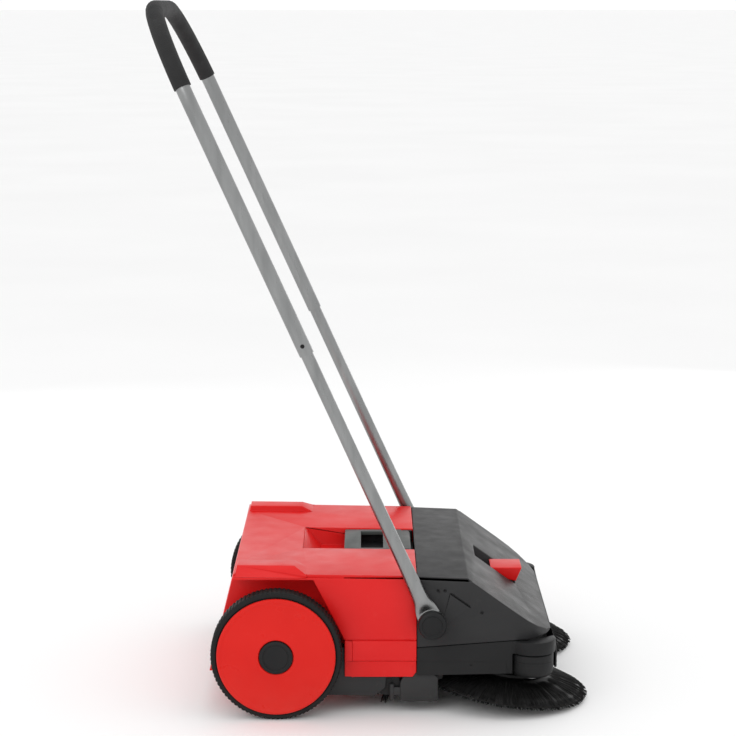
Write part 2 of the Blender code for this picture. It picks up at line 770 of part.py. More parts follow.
def make_front_shaft(word, side):
    low, high = front_belt_span()
    edge = SMALL_PULLEY_R + FLANGE_RISE
    shape = (
        (0.0, SHAFT_IN),
        (SHAFT_R, SHAFT_IN),
        (SHAFT_R, low),
        (edge, low),
        (edge, low + FLANGE),
        (SMALL_PULLEY_R, low + FLANGE),
        (SMALL_PULLEY_R, high - FLANGE),
        (edge, high - FLANGE),
        (edge, high),
        (0.0, high),
    )
    centre = (shaft_x(), 0.0, SHAFT_Z)
    node("front_shaft_" + word, turned(shape, 16, side=side), "steel", centre, smooth=True)
    large, small, far, near = bevel(BEVEL_PINION_TEETH, BEVEL_TEETH, -pi / 2.0)
    rings = [
        [Vector((a, side * (DISC_Y - far), b)) for a, b in large],
        [Vector((a, side * (DISC_Y - near), b)) for a, b in small],
    ]
    turn = (0.0, DISC_TILT, 0.0)
    item = node("bevel_pinion_" + word, loft(rings), "white", centre, turn)
    y0, y1 = sided(side, SHAFT_IN, DISC_Y)
    combine(item, rod(SHAFT_R + GAP, y0, y1, 16), location=centre, turn=turn)


def make_guide_roller(word, side):
    centre = (GUIDE_X, side * GUIDE_Y, 0.0)
    bore = GUIDE_PIN_R + RUN
    roller = (
        (bore, GUIDE_LOW),
        (GUIDE_R - 0.0060, GUIDE_LOW),
        (GUIDE_R - 0.0015, GUIDE_LOW + 0.0040),
        (GUIDE_R, GUIDE_LOW + 0.0120),
        (GUIDE_R, GUIDE_HIGH - 0.0100),
        (GUIDE_R - 0.0030, GUIDE_HIGH),
        (bore, GUIDE_HIGH),
    )
    node("guide_roller_" + word, turned(roller, 20, "Z"), "black", centre, smooth=True)
    head = 0.0090
    pin = (
        (0.0, GUIDE_LOW - 0.0060),
        (head, GUIDE_LOW - 0.0060),
        (head, GUIDE_LOW - 0.0025),
        (GUIDE_PIN_R, GUIDE_LOW - 0.0025),
        (GUIDE_PIN_R, GUIDE_HIGH + 0.0120),
        (0.0, GUIDE_HIGH + 0.0120),
    )
    node("guide_pin_" + word, turned(pin, 12, "Z"), "steel", centre, smooth=True)


# ---------------------------------------------------------------- chassis base
def base_plan(inset=0.0):
    """Left half of the base in plan, front to rear."""
    i = inset
    return [
        (BASE_NOSE_X - i, HOOD_HALF - 0.0355 - 0.4 * i),
        (NOSE_X - 0.0205 - 0.6 * i, HOOD_HALF - 0.0115 - 0.8 * i),
        (NOSE_X - 0.0385 - 0.2 * i, HOOD_HALF - 0.0035 - i),
        (NOSE_X - 0.0625, HOOD_HALF - i),
        (HOOD_X + i, HOOD_HALF - i),
    ]


def make_base():
    """Lower tray: deck, skirt, roller pockets, shaft bearings and the support foot's guide."""
    side_view = [
        (HOOD_X, BASE_FOOT_REAR),
        (PARTING_X - 0.0100, BASE_FOOT_FRONT),
        (BASE_NOSE_X, BASE_FOOT_FRONT),
        (BASE_NOSE_X, PARTING_FRONT - 0.0210),
        (NOSE_X + 0.0010, PARTING_FRONT - GAP),
        (PARTING_X, PARTING_FRONT - GAP),
        (HOOD_X, PARTING_REAR - GAP),
    ]
    item = node("chassis_base", prism(side_view, -HOOD_HALF, HOOD_HALF), "black")
    combine(item, prism(mirrored(base_plan()), 0.0, 0.3, "Z"), "INTERSECT")
    cap_r = GUIDE_R + 0.0030
    pocket_top = GUIDE_HIGH + 0.0015
    for word, side in SIDES:
        spot = (GUIDE_X, side * GUIDE_Y, 0.0)
        combine(item, rod(cap_r, GUIDE_HIGH - 0.0100, PARTING_FRONT - GAP, 20, "Z"), "UNION", spot)
    inside = place("inside", prism(mirrored(base_plan(WALL + 0.0005)), DECK_TOP, 0.2, "Z"))
    for word, side in SIDES:
        spot = (GUIDE_X, side * GUIDE_Y, 0.0)
        combine(inside, rod(cap_r + 0.0055, 0.0, pocket_top + 0.0030, 20, "Z"), location=spot)
    hollow = bmesh.new()
    hollow.from_mesh(inside.data)
    bpy.data.objects.remove(inside, do_unlink=True)
    combine(item, hollow)
    combine(item, prism(mirrored(base_plan(WALL + 0.0005)), 0.0, DECK_LOW, "Z"))
    for word, side in SIDES:
        add_disc_bearing(item, side)
        add_shaft_bearings(item, side)
        spot = (GUIDE_X, side * GUIDE_Y, 0.0)
        combine(item, rod(cap_r + 0.0025, 0.0, pocket_top, 20, "Z"), location=spot)
        combine(item, rod(GUIDE_PIN_R + RUN, 0.05, 0.2, 12, "Z"), location=spot)
        y0, y1 = sided(side, ARM_IN - 0.0010, GUARD_OUT + 0.0010)
        combine(item, box(HOOD_X - 0.01, HOOD_X + 0.0040, y0, y1, 0.0500, DECK_LOW))
        y0, y1 = sided(side, BELT_LOW - 0.0010, BELT_HIGH + 0.0010)
        combine(item, box(HOOD_X - 0.01, HOOD_X + 0.0725, y0, y1, 0.0500, 0.0900))
    add_lever_posts(item)
    add_support_guide(item)
    return item


def add_disc_bearing(item, side):
    """Tilted sleeve through the deck for the disc brush's shaft."""
    centre = (DISC_X, side * DISC_Y, disc_foot_z())
    turn = (0.0, DISC_TILT, 0.0)
    combine(item, rod(0.0150, 0.0460, 0.0780, 14, "Z"), "UNION", centre, turn)
    combine(item, rod(DISC_SHAFT_R + RUN, 0.0300, 0.1200, 16, "Z"), location=centre, turn=turn)


def add_shaft_bearings(item, side):
    """Two upright blocks on the deck that carry a front shaft."""
    x = shaft_x()
    half = 0.0105
    for low, high in ((SHAFT_IN + 0.0010, SHAFT_IN + 0.0075), (OUTER_BEARING, ARM_IN - 0.0105)):
        y0, y1 = sided(side, low, high)
        combine(item, box(x - half, x + half, y0, y1, DECK_LOW + 0.0010, SHAFT_Z + 0.0110), "UNION")
    y0, y1 = sided(side, SHAFT_IN - 0.0090, INNER_HALF)
    combine(item, rod(SHAFT_R + RUN, y0, y1, 16), location=(x, 0.0, SHAFT_Z))


def add_lever_posts(item):
    for low, high in ((-0.0200, -0.0160), (0.0160, 0.0200)):
        post = box(LEVER_X - 0.0110, LEVER_X + 0.0110, low, high, DECK_LOW + 0.0010, LEVER_Z + 0.0110)
        combine(item, post, "UNION")
    combine(item, rod(SPINDLE_R + RUN, -0.03, 0.03), location=(LEVER_X, 0.0, LEVER_Z))


def add_support_guide(item):
    """Square sleeve in the deck in which the support foot's stem slides."""
    wide = STEM_HALF + 0.0060
    x = SUPPORT_X
    combine(item, box(x - wide, x + wide, -wide, wide, DECK_LOW + 0.0010, SLEEVE_TOP), "UNION")
    slot = STEM_HALF + RUN
    combine(item, box(x - slot, x + slot, -slot, slot, 0.0500, 0.1200))


# ---------------------------------------------------------------- hood
def hood_plan(inset=0.0):
    """Left half of the hood in plan, front to rear, with its rounded front corner."""
    i = inset
    return [
        (NOSE_X + 0.0010 - i, HOOD_HALF - 0.0705 - 0.3 * i),
        (NOSE_X - 0.0085 - i, HOOD_HALF - 0.0415 - 0.5 * i),
        (NOSE_X - 0.0245 - 0.7 * i, HOOD_HALF - 0.0160 - 0.7 * i),
        (NOSE_X - 0.0405 - 0.3 * i, HOOD_HALF - 0.0040 - i),
        (NOSE_X - 0.0625, HOOD_HALF - i),
        (HOOD_X + i, HOOD_HALF - i),
    ]


def make_hood():
    side_view = [
        (HOOD_X, PARTING_REAR + GAP),
        (PARTING_X, PARTING_FRONT + GAP),
        (NOSE_X, PARTING_FRONT + GAP),
        (NOSE_X, NOSE_Z),
        (SLOPE_END_X, SLOPE_END_Z),
        (BREAK_X, BREAK_Z),
        (HOOD_X, HOOD_TOP),
    ]
    bm = prism(side_view, -HOOD_HALF, HOOD_HALF)
    edges = []
    for edge in bm.edges:
        one, two = edge.verts
        upper = min(one.co.z, two.co.z) > BREAK_Z - 0.0010
        if upper and abs(one.co.y - two.co.y) < 1e-6 and one.co.x != two.co.x:
            edges.append(edge)
    bmesh.ops.bevel(bm, geom=edges, offset=EDGE, segments=2, affect="EDGES")
    item = node("hood_cover", bm, "hood")
    combine(item, prism(mirrored(hood_plan()), 0.0, 0.3, "Z"), "INTERSECT")
    for word, side in SIDES:
        y0, y1 = sided(side, HOOD_HALF - 0.0100, TUBE_Y - EYE_THICK / 2.0 - GAP)
        combine(item, rod(PIVOT_BOSS_R, y0, y1, 18), "UNION", (PIVOT_X, 0.0, PIVOT_Z))
    hollow_view = [
        (HOOD_X + WALL, 0.0800),
        (NOSE_X - WALL, 0.0800),
        (NOSE_X - WALL, NOSE_Z - WALL),
        (SLOPE_END_X - WALL, SLOPE_END_Z - WALL),
        (BREAK_X - 0.4 * WALL, BREAK_Z - WALL),
        (HOOD_X + WALL, HOOD_TOP - WALL),
    ]
    inner_half = HOOD_HALF - WALL
    inside = place("inside", prism(hollow_view, -inner_half, inner_half))
    combine(inside, prism(mirrored(hood_plan(WALL)), 0.0, 0.3, "Z"), "INTERSECT")
    for word, side in SIDES:
        y0, y1 = sided(side, HOOD_HALF - 0.0100, HOOD_HALF + 0.0100)
        combine(inside, rod(PIVOT_BOSS_R, y0, y1, 18), location=(PIVOT_X, 0.0, PIVOT_Z))
    tray_half = POCKET_HALF + WALL
    combine(inside, prism(pocket_view(WALL), -tray_half, tray_half))
    hollow = bmesh.new()
    hollow.from_mesh(inside.data)
    bpy.data.objects.remove(inside, do_unlink=True)
    combine(item, hollow)
    combine(item, prism(pocket_view(0.0), -POCKET_HALF, POCKET_HALF))
    combine(item, box(POCKET_REAR + 0.0030, LEVER_X + 0.0170, -0.0065, 0.0065, LEVER_Z, slope_z(LEVER_X)))
    for word, side in SIDES:
        y0, y1 = sided(side, HOOD_HALF - 0.0200, TUBE_Y)
        combine(item, rod(PIVOT_BOLT_R + RUN, y0, y1, 16), location=(PIVOT_X, 0.0, PIVOT_Z))


def pocket_view(grow):
    """Side view of the finger pocket in the slope; grow makes the tray that holds it."""
    end = LEVER_X + 0.0250
    return [
        (POCKET_REAR - grow, HOOD_TOP + 0.03),
        (POCKET_REAR - grow, slope_z(POCKET_REAR) - POCKET_DEPTH - grow),
        (LEVER_X, slope_z(POCKET_REAR) - POCKET_DEPTH - 0.0070 - grow),
        (end + grow, slope_z(end) - 0.0010 - grow),
        (end + 0.0080 + grow, HOOD_TOP + 0.03),
    ]


def make_lever():
    """Red height lever: a wedge-shaped head, and an arm whose nose bears on the support's stem."""
    top = slope_z(LEVER_X) + LEVER_RISE - LEVER_Z
    head = [
        (-0.0145, top),
        (0.0365, top),
        (0.0270, top - 0.0227),
        (0.0040, top - 0.0175),
        (-0.0130, top - 0.0075),
    ]
    centre = (LEVER_X, 0.0, LEVER_Z)
    item = node("height_lever", prism(head, -LEVER_HALF, LEVER_HALF), "red", centre)
    stem = [(-0.0060, 0.0), (0.0060, 0.0), (0.0090, top - 0.0165), (-0.0040, top - 0.0085)]
    combine(item, prism(stem, -0.0050, 0.0050), "UNION", centre)
    combine(item, rod(0.0100, -0.0155, 0.0155, 14), "UNION", centre)
    reach = LEVER_X - SUPPORT_X
    combine(item, box(-reach, 0.0, -0.0050, 0.0050, -0.0040, 0.0040), "UNION", centre)
    combine(item, rod(LEVER_NOSE_R, -0.0050, 0.0050, 12), "UNION", (SUPPORT_X, 0.0, LEVER_Z))
    combine(item, rod(SPINDLE_R + RUN, -0.03, 0.03), location=centre)
    node("lever_spindle", rod(SPINDLE_R, -0.0240, 0.0240), "steel", centre, smooth=True)


def make_support():
    """Height foot between the brushes: a fork that slides in the deck, with a small roller."""
    x = SUPPORT_X
    leg = SUPPORT_HALF + 0.0008
    fork_top = SUPPORT_Z + SUPPORT_R + 0.0100
    half = leg + 0.0045
    item = node("support_fork", box(x - 0.0080, x + 0.0080, -half, half, 0.0120, fork_top), "black")
    combine(item, box(x - 0.0200, x + 0.0200, -leg, leg, 0.0, fork_top - 0.0060))
    s = STEM_HALF
    combine(item, box(x - s, x + s, -s, s, fork_top - 0.0010, LEVER_Z - LEVER_NOSE_R - GAP), "UNION")
    combine(item, rod(0.0030 + RUN, -half - 0.01, half + 0.01, 12), location=(x, 0.0, SUPPORT_Z))
    end = half - 0.0005
    profile = (
        (0.0, -end),
        (0.0030, -end),
        (0.0030, -SUPPORT_HALF),
        (SUPPORT_R - 0.0020, -SUPPORT_HALF),
        (SUPPORT_R, -SUPPORT_HALF + 0.0020),
        (SUPPORT_R, SUPPORT_HALF - 0.0020),
        (SUPPORT_R - 0.0020, SUPPORT_HALF),
        (0.0030, SUPPORT_HALF),
        (0.0030, end),
        (0.0, end),
    )
    node("support_roller", turned(profile, 16), "rubber", (x, 0.0, SUPPORT_Z), smooth=True)


# ---------------------------------------------------------------- container
def container_half(z):
    """Half width of the container's drafted sides."""
    rise = (z - CONTAINER_FOOT) / (TOP_REAR_Z - CONTAINER_FOOT)
    return BODY_HALF - BODY_DRAFT * (1.0 - rise)


def drafted(outline, inset=0.0):
    """Side outline with sides that follow the container's draft."""
    rings = []
    for side in (-1, 1):
        rings.append([Vector((x, side * (container_half(z) - inset), z)) for x, z in outline])
    return loft(rings)


def make_container():
    outline = [
        (FOOT_REAR_X, CONTAINER_FOOT),
        (TOP_REAR_X, TOP_REAR_Z),
        (SPLIT_X, TOP_SPLIT_Z),
        (SPLIT_X, CONTAINER_FOOT + 0.0080),
        (SPLIT_X - 0.0060, CONTAINER_FOOT),
    ]
    bm = drafted(outline)
    edges = []
    for edge in bm.edges:
        one, two = edge.verts
        upper = min(one.co.z, two.co.z) > TOP_SPLIT_Z - 0.0010
        if upper and abs(one.co.y - two.co.y) < 0.01:
            edges.append(edge)
    bmesh.ops.bevel(bm, geom=edges, offset=EDGE, segments=2, affect="EDGES")
    item = node("container_shell", bm, "red")
    hump = [
        (TOP_REAR_X + 0.0015, TOP_REAR_Z - 0.0060),
        (TOP_REAR_X + 0.0045, TOP_REAR_Z + HUMP_RISE),
        (TOP_REAR_X + 0.0925, TOP_REAR_Z + HUMP_RISE - 0.0010),
        (TOP_REAR_X + 0.1115, TOP_REAR_Z - 0.0020),
        (TOP_REAR_X + 0.1115, TOP_REAR_Z - 0.0060),
    ]
    for word, side in SIDES:
        y0, y1 = sided(side, BODY_HALF - 0.0010 - HUMP_WIDTH, BODY_HALF - 0.0010)
        combine(item, prism(hump, y0, y1), "UNION")
    well = [
        (FOOT_REAR_X - 0.05, 0.0),
        (FOOT_REAR_X - 0.05, WELL_TOP),
        (CREASE_TOP_X, WELL_TOP),
        (CREASE_FOOT_X, CREASE_FOOT_Z),
        (CREASE_FOOT_X, 0.0),
    ]
    for word, side in SIDES:
        y0, y1 = sided(side, INNER_HALF, BODY_HALF + 0.05)
        combine(item, prism(well, y0, y1))
        y0, y1 = sided(side, INNER_HALF, CURTAIN_IN)
        combine(item, box(CREASE_FOOT_X - 0.01, SPLIT_X + 0.1, y0, y1, 0.0, LEDGE_Z))
    hollow_container(item)
    cut_handle_recess(item)


def hollow_container(item):
    """One cavity: the narrow lower box, the wide upper front and the open mouth."""
    w = WALL
    lean = (TOP_REAR_X - FOOT_REAR_X) / (TOP_REAR_Z - CONTAINER_FOOT)
    low = CONTAINER_FOOT + w
    high = TOP_SPLIT_Z - w
    rear_low = FOOT_REAR_X + w + lean * w
    rear_high = FOOT_REAR_X + w + lean * (high - CONTAINER_FOOT)
    lower = [(rear_low, low), (rear_high, high), (SPLIT_X - w, high), (SPLIT_X - w, low)]
    inside = place("inside", prism(lower, -INNER_HALF + w, INNER_HALF - w))
    run = (CREASE_FOOT_X - CREASE_TOP_X) / (WELL_TOP - CREASE_FOOT_Z)
    shift = w * sqrt(1.0 + run * run)
    at_high = CREASE_TOP_X + (WELL_TOP - high) * run + shift
    at_low = CREASE_TOP_X + (WELL_TOP - LEDGE_Z - w) * run + shift
    upper = [(at_low, LEDGE_Z + w), (at_high, high), (SPLIT_X - w, high), (SPLIT_X - w, LEDGE_Z + w)]
    combine(inside, drafted(upper, w), "UNION")
    tray_half = RECESS_HALF + w
    combine(inside, prism(recess_view(w), -tray_half, tray_half))
    hollow = bmesh.new()
    hollow.from_mesh(inside.data)
    bpy.data.objects.remove(inside, do_unlink=True)
    combine(item, hollow)
    half = INNER_HALF + 0.0010
    combine(item, box(MOUTH_X, SPLIT_X + 0.1, -half, half, 0.0, LEDGE_Z))


def recess_view(grow):
    """Side view of the top recess: ramp, floor and open front; grow makes its tray."""
    return [
        (RECESS_REAR - grow * 1.3, TOP_REAR_Z + 0.04),
        (RECESS_REAR - grow * 1.3, TOP_REAR_Z - 0.0015),
        (RECESS_RAMP - grow * 0.6, RECESS_FLOOR - grow),
        (SPLIT_X + 0.1, RECESS_FLOOR - grow),
        (SPLIT_X + 0.1, TOP_REAR_Z + 0.04),
    ]


def cut_handle_recess(item):
    combine(item, prism(recess_view(0.0), -RECESS_HALF, RECESS_HALF))


def make_carry_handle():
    """Black bed in the recess, hinge pin, and the grey handle that swings up from its rear end."""
    x0 = HANDLE_REAR + 0.0030
    x1 = SPLIT_X - 0.0005
    half = RECESS_HALF - GAP
    floor = RECESS_FLOOR + GAP
    item = node("handle_bed", box(x0, x1, -half, half, floor, floor + BED_THICK), "black")
    lug_x0 = HANDLE_PIN_X - 0.0070
    lug_in = half - LUG_WIDTH
    lug_top = HANDLE_TOP - 0.0010
    for word, side in SIDES:
        y0, y1 = sided(side, lug_in, half)
        combine(item, box(lug_x0, x1 - 0.0020, y0, y1, floor + 0.0030, lug_top), "UNION")
    centre = (HANDLE_PIN_X, 0.0, HANDLE_PIN_Z)
    combine(item, rod(HANDLE_PIN_R + RUN, -half - 0.01, half + 0.01, 12), location=centre)
    pin = rod(HANDLE_PIN_R, -half + 0.0005, half - 0.0005, 12)
    node("handle_pin", pin, "steel", centre, smooth=True)

    rear = HANDLE_REAR - HANDLE_PIN_X
    front = -hypot(HANDLE_PIN_X - lug_x0, lug_top - HANDLE_PIN_Z) - GAP
    top = HANDLE_TOP - HANDLE_PIN_Z
    low = top - HANDLE_THICK
    handle = node("carry_handle", box(rear, front, -HANDLE_HALF, HANDLE_HALF, low, top), "grey", centre)
    neck = lug_in - GAP
    combine(handle, box(front - 0.0040, 0.0, -neck, neck, low, top), "UNION", centre)
    combine(handle, rod(BARREL_R, -neck, neck, 16), "UNION", centre)
    combine(handle, rod(HANDLE_PIN_R + RUN, -neck - 0.01, neck + 0.01, 12), location=centre)
    window = box(WINDOW_REAR, WINDOW_FRONT, -WINDOW_HALF, WINDOW_HALF, HANDLE_TOP - 0.03, HANDLE_TOP + 0.03)
    combine(handle, window)


# ---------------------------------------------------------------- push handle
def along_tube(distance, y=0.0):
    return Vector((-distance * cos(TUBE_LEAN), y, distance * sin(TUBE_LEAN)))


def handle_route(start):
    """Middle line of the U from one leg to the other, seen from the pivot."""
    points = [along_tube(start, -TUBE_Y)]
    steps = 4
    for side in (-1, 1):
        for i in range(steps + 1):
            a = (pi / 2.0) * i / steps
            if side > 0:
                a = pi / 2.0 - a
            y = side * (TUBE_Y - BEND_R + BEND_R * cos(a))
            points.append(along_tube(CROSSBAR_AT - BEND_R + BEND_R * sin(a), y))
    points.append(along_tube(start, TUBE_Y))
    return points


def make_push_handle():
    pivot = (PIVOT_X, 0.0, PIVOT_Z)
    upper = pipe(handle_route(UPPER_START), UPPER_R, LOWER_R + GAP, TUBE_SIDES)
    tube = node("upper_tube", upper, "steel", pivot, smooth=True)
    grip = pipe(handle_route(GRIP_AT), GRIP_R, UPPER_R + GAP, TUBE_SIDES)
    node("grip", grip, "foam", pivot, smooth=True)
    for word, side in SIDES:
        make_lower_tube(word, side, pivot)
        spot = Vector(pivot) + along_tube(SCREW_AT)
        y0, y1 = sided(side, TUBE_Y, TUBE_Y + 0.03)
        combine(tube, rod(SCREW_R + GAP, y0, y1, 12), location=spot)
        low = TUBE_Y + LOWER_R - TUBE_WALL - 0.0030
        screw = (
            (0.0, low),
            (SCREW_R, low),
            (SCREW_R, TUBE_Y + UPPER_R + 0.0002),
            (SCREW_R + 0.0008, TUBE_Y + UPPER_R + 0.0004),
            (SCREW_R + 0.0002, TUBE_Y + UPPER_R + 0.0012),
            (0.0, TUBE_Y + UPPER_R + 0.0012),
        )
        node("tube_screw_" + word, turned(screw, 12, side=side), "black", spot, smooth=True)
        make_pivot(word, side, pivot)
    round_off(tube)


def make_lower_tube(word, side, pivot):
    """Round tube whose foot is pressed flat into an eye for the pivot bolt."""
    sections = (
        (0.0080, 0.0190, EYE_THICK / 2.0 - 0.0002),
        (0.0240, 0.0175, EYE_THICK / 2.0),
        (0.0360, 0.0135, 0.0070),
        (0.0520, LOWER_R, LOWER_R),
        (LOWER_END, LOWER_R, LOWER_R),
    )
    forward = Vector((sin(TUBE_LEAN), 0.0, cos(TUBE_LEAN)))
    across = Vector((0.0, 1.0, 0.0))
    rings = []
    for distance, wide, thick in sections:
        middle = along_tube(distance, side * TUBE_Y)
        ring = []
        for i in range(TUBE_SIDES):
            a = 2.0 * pi * i / TUBE_SIDES
            ring.append(middle + forward * (wide * cos(a)) + across * (thick * sin(a)))
        rings.append(ring)
    item = node("lower_tube_" + word, loft(rings), "steel", pivot)
    y0, y1 = sided(side, TUBE_Y - EYE_THICK / 2.0, TUBE_Y + EYE_THICK / 2.0)
    combine(item, rod(EYE_R, y0, y1, 20), "UNION", pivot)
    y0, y1 = sided(side, TUBE_Y - 0.02, TUBE_Y + 0.02)
    combine(item, rod(PIVOT_BOLT_R + RUN, y0, y1, 16), location=pivot)
    bore = LOWER_R - TUBE_WALL
    rings = []
    for distance in (0.0620, LOWER_END + 0.01):
        middle = along_tube(distance, side * TUBE_Y)
        ring = []
        for i in range(TUBE_SIDES):
            a = 2.0 * pi * i / TUBE_SIDES
            ring.append(middle + forward * (bore * cos(a)) + across * (bore * sin(a)))
        rings.append(ring)
    combine(item, loft(rings), location=pivot)
    spot = Vector(pivot) + along_tube(SCREW_AT)
    y0, y1 = sided(side, TUBE_Y, TUBE_Y + 0.03)
    combine(item, rod(SCREW_R + GAP, y0, y1, 12), location=spot)
    round_off(item)


def make_pivot(word, side, pivot):
    """Bolt fixed in the hood, and the round cap that covers the tube's eye."""
    head_low = HOOD_HALF - 0.0150
    head_high = HOOD_HALF - 0.0100 - GAP
    bolt_end = TUBE_Y + EYE_THICK / 2.0 + 0.0045
    bolt = (
        (0.0, head_low),
        (0.0100, head_low),
        (0.0100, head_high),
        (PIVOT_BOLT_R, head_high),
        (PIVOT_BOLT_R, bolt_end),
        (0.0, bolt_end),
    )
    node("pivot_bolt_" + word, turned(bolt, 16, side=side), "steel", pivot, smooth=True)
    low = TUBE_Y + EYE_THICK / 2.0 + GAP
    socket = PIVOT_BOLT_R + RUN
    cap = (
        (0.0, bolt_end + GAP),
        (socket, bolt_end + GAP),
        (socket, low),
        (PIVOT_CAP_R - 0.0040, low),
        (PIVOT_CAP_R, low + 0.0040),
        (PIVOT_CAP_R, PIVOT_CAP_OUT - 0.0040),
        (PIVOT_CAP_R - 0.0025, PIVOT_CAP_OUT - 0.0010),
        (PIVOT_CAP_R - 0.0070, PIVOT_CAP_OUT),
        (0.0, PIVOT_CAP_OUT - 0.0012),
    )
    node("pivot_cap_" + word, turned(cap, 20, side=side), "black", pivot, smooth=True)


# ---------------------------------------------------------------- assembly
clear_scene()
FRAME = make_frame()
make_base()
make_hood()
make_lever()
make_support()
make_container()
make_carry_handle()
make_roller()
for WORD, SIDE in SIDES:
    make_wheel(WORD, SIDE)
    make_ring_gear(WORD, SIDE)
    make_pinion(WORD, SIDE)
    make_side_arm(WORD, SIDE)
    make_drive_cover(WORD, SIDE)
    make_belt_guard(WORD, SIDE)
    make_belts(WORD, SIDE)
    make_disc_brush(WORD, SIDE)
    make_front_shaft(WORD, SIDE)
    make_guide_roller(WORD, SIDE)
make_push_handle()
bpy.context.view_layer.update()
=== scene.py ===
import json
from math import atan2, cos, pi, radians, sin
from random import Random

import bpy
from mathutils import Matrix, Vector


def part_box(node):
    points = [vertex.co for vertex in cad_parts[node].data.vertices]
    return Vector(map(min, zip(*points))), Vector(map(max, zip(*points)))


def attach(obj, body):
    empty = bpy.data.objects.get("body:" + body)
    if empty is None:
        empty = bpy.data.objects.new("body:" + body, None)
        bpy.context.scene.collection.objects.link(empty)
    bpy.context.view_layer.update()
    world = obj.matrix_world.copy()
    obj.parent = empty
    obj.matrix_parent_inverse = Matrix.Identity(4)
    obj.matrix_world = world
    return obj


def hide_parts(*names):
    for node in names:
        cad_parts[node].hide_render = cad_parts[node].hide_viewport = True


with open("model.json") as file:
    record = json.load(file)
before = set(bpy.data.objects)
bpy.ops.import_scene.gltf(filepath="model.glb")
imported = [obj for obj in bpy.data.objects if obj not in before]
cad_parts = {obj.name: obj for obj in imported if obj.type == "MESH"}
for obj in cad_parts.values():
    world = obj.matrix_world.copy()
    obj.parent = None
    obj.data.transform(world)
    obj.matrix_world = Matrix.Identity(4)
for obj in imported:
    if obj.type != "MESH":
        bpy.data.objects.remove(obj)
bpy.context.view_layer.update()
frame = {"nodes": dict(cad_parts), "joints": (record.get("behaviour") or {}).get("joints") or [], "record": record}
bodyOf = {}
for body, members in frame["record"]["behaviour"]["bodies"].items():
    for member in members:
        bodyOf[member] = body
slotOf = {part["node"]: part["material_slot"] for part in frame["record"]["subparts"]}
jointOf = {joint["name"]: joint for joint in frame["joints"]}
sideSign = {"right": -1, "left": 1}
wheelCentre = Vector(jointOf["wheel_right_spin"]["pos_m"])
wheelCentre.y = 0.0
print("frame loaded")


# camera, floor and lights
cameraValues = {"place": (-0.0045, -3.4974, 1.0760), "pitch": 80.631, "lens": 107.9}
lens = bpy.data.cameras.new("camera")
lens.lens = cameraValues["lens"]
camera = bpy.data.objects.new("camera", lens)
camera.location = cameraValues["place"]
camera.rotation_euler = (radians(cameraValues["pitch"]), 0.0, 0.0)
bpy.context.collection.objects.link(camera)
bpy.context.scene.camera = camera
bpy.context.scene.view_settings.view_transform = "Standard"

# each light: place, aimed at, width, height, power in watts
lightValues = {
    "keySoftbox": ((-1.3, -2.6, 1.9), (0.0, 0.0, 0.15), 1.8, 1.2, 14.0),
    "topSoftbox": ((0.3, 0.2, 2.6), (0.0, 0.0, 0.1), 1.6, 1.6, 4.0),
    "slopeStrip": ((1.5, 2.7, 0.55), (0.2, 0.0, 0.15), 0.9, 0.8, 4.0),
    "rearCard": ((-1.2, 2.4, 0.8), (-0.15, 0.0, 0.2), 0.8, 0.9, 2.0),
}
for name, (place, target, width, height, power) in lightValues.items():
    lamp = bpy.data.lights.new(name, "AREA")
    lamp.shape = "RECTANGLE"
    lamp.size = width
    lamp.size_y = height
    lamp.energy = power
    light = bpy.data.objects.new(name, lamp)
    light.location = place
    light.rotation_euler = (Vector(target) - Vector(place)).to_track_quat("-Z", "Y").to_euler()
    light.visible_camera = False
    bpy.context.collection.objects.link(light)
world = bpy.data.worlds.new("studio")
world.use_nodes = True
world.node_tree.nodes["Background"].inputs["Color"].default_value = (1.0, 1.0, 1.0, 1.0)
world.node_tree.nodes["Background"].inputs["Strength"].default_value = 1.02
bpy.context.scene.world = world
print("camera and lights placed")


# materials
def addNode(tree, kind, **settings):
    node = tree.nodes.new(kind)
    for name, value in settings.items():
        setattr(node, name, value)
    return node


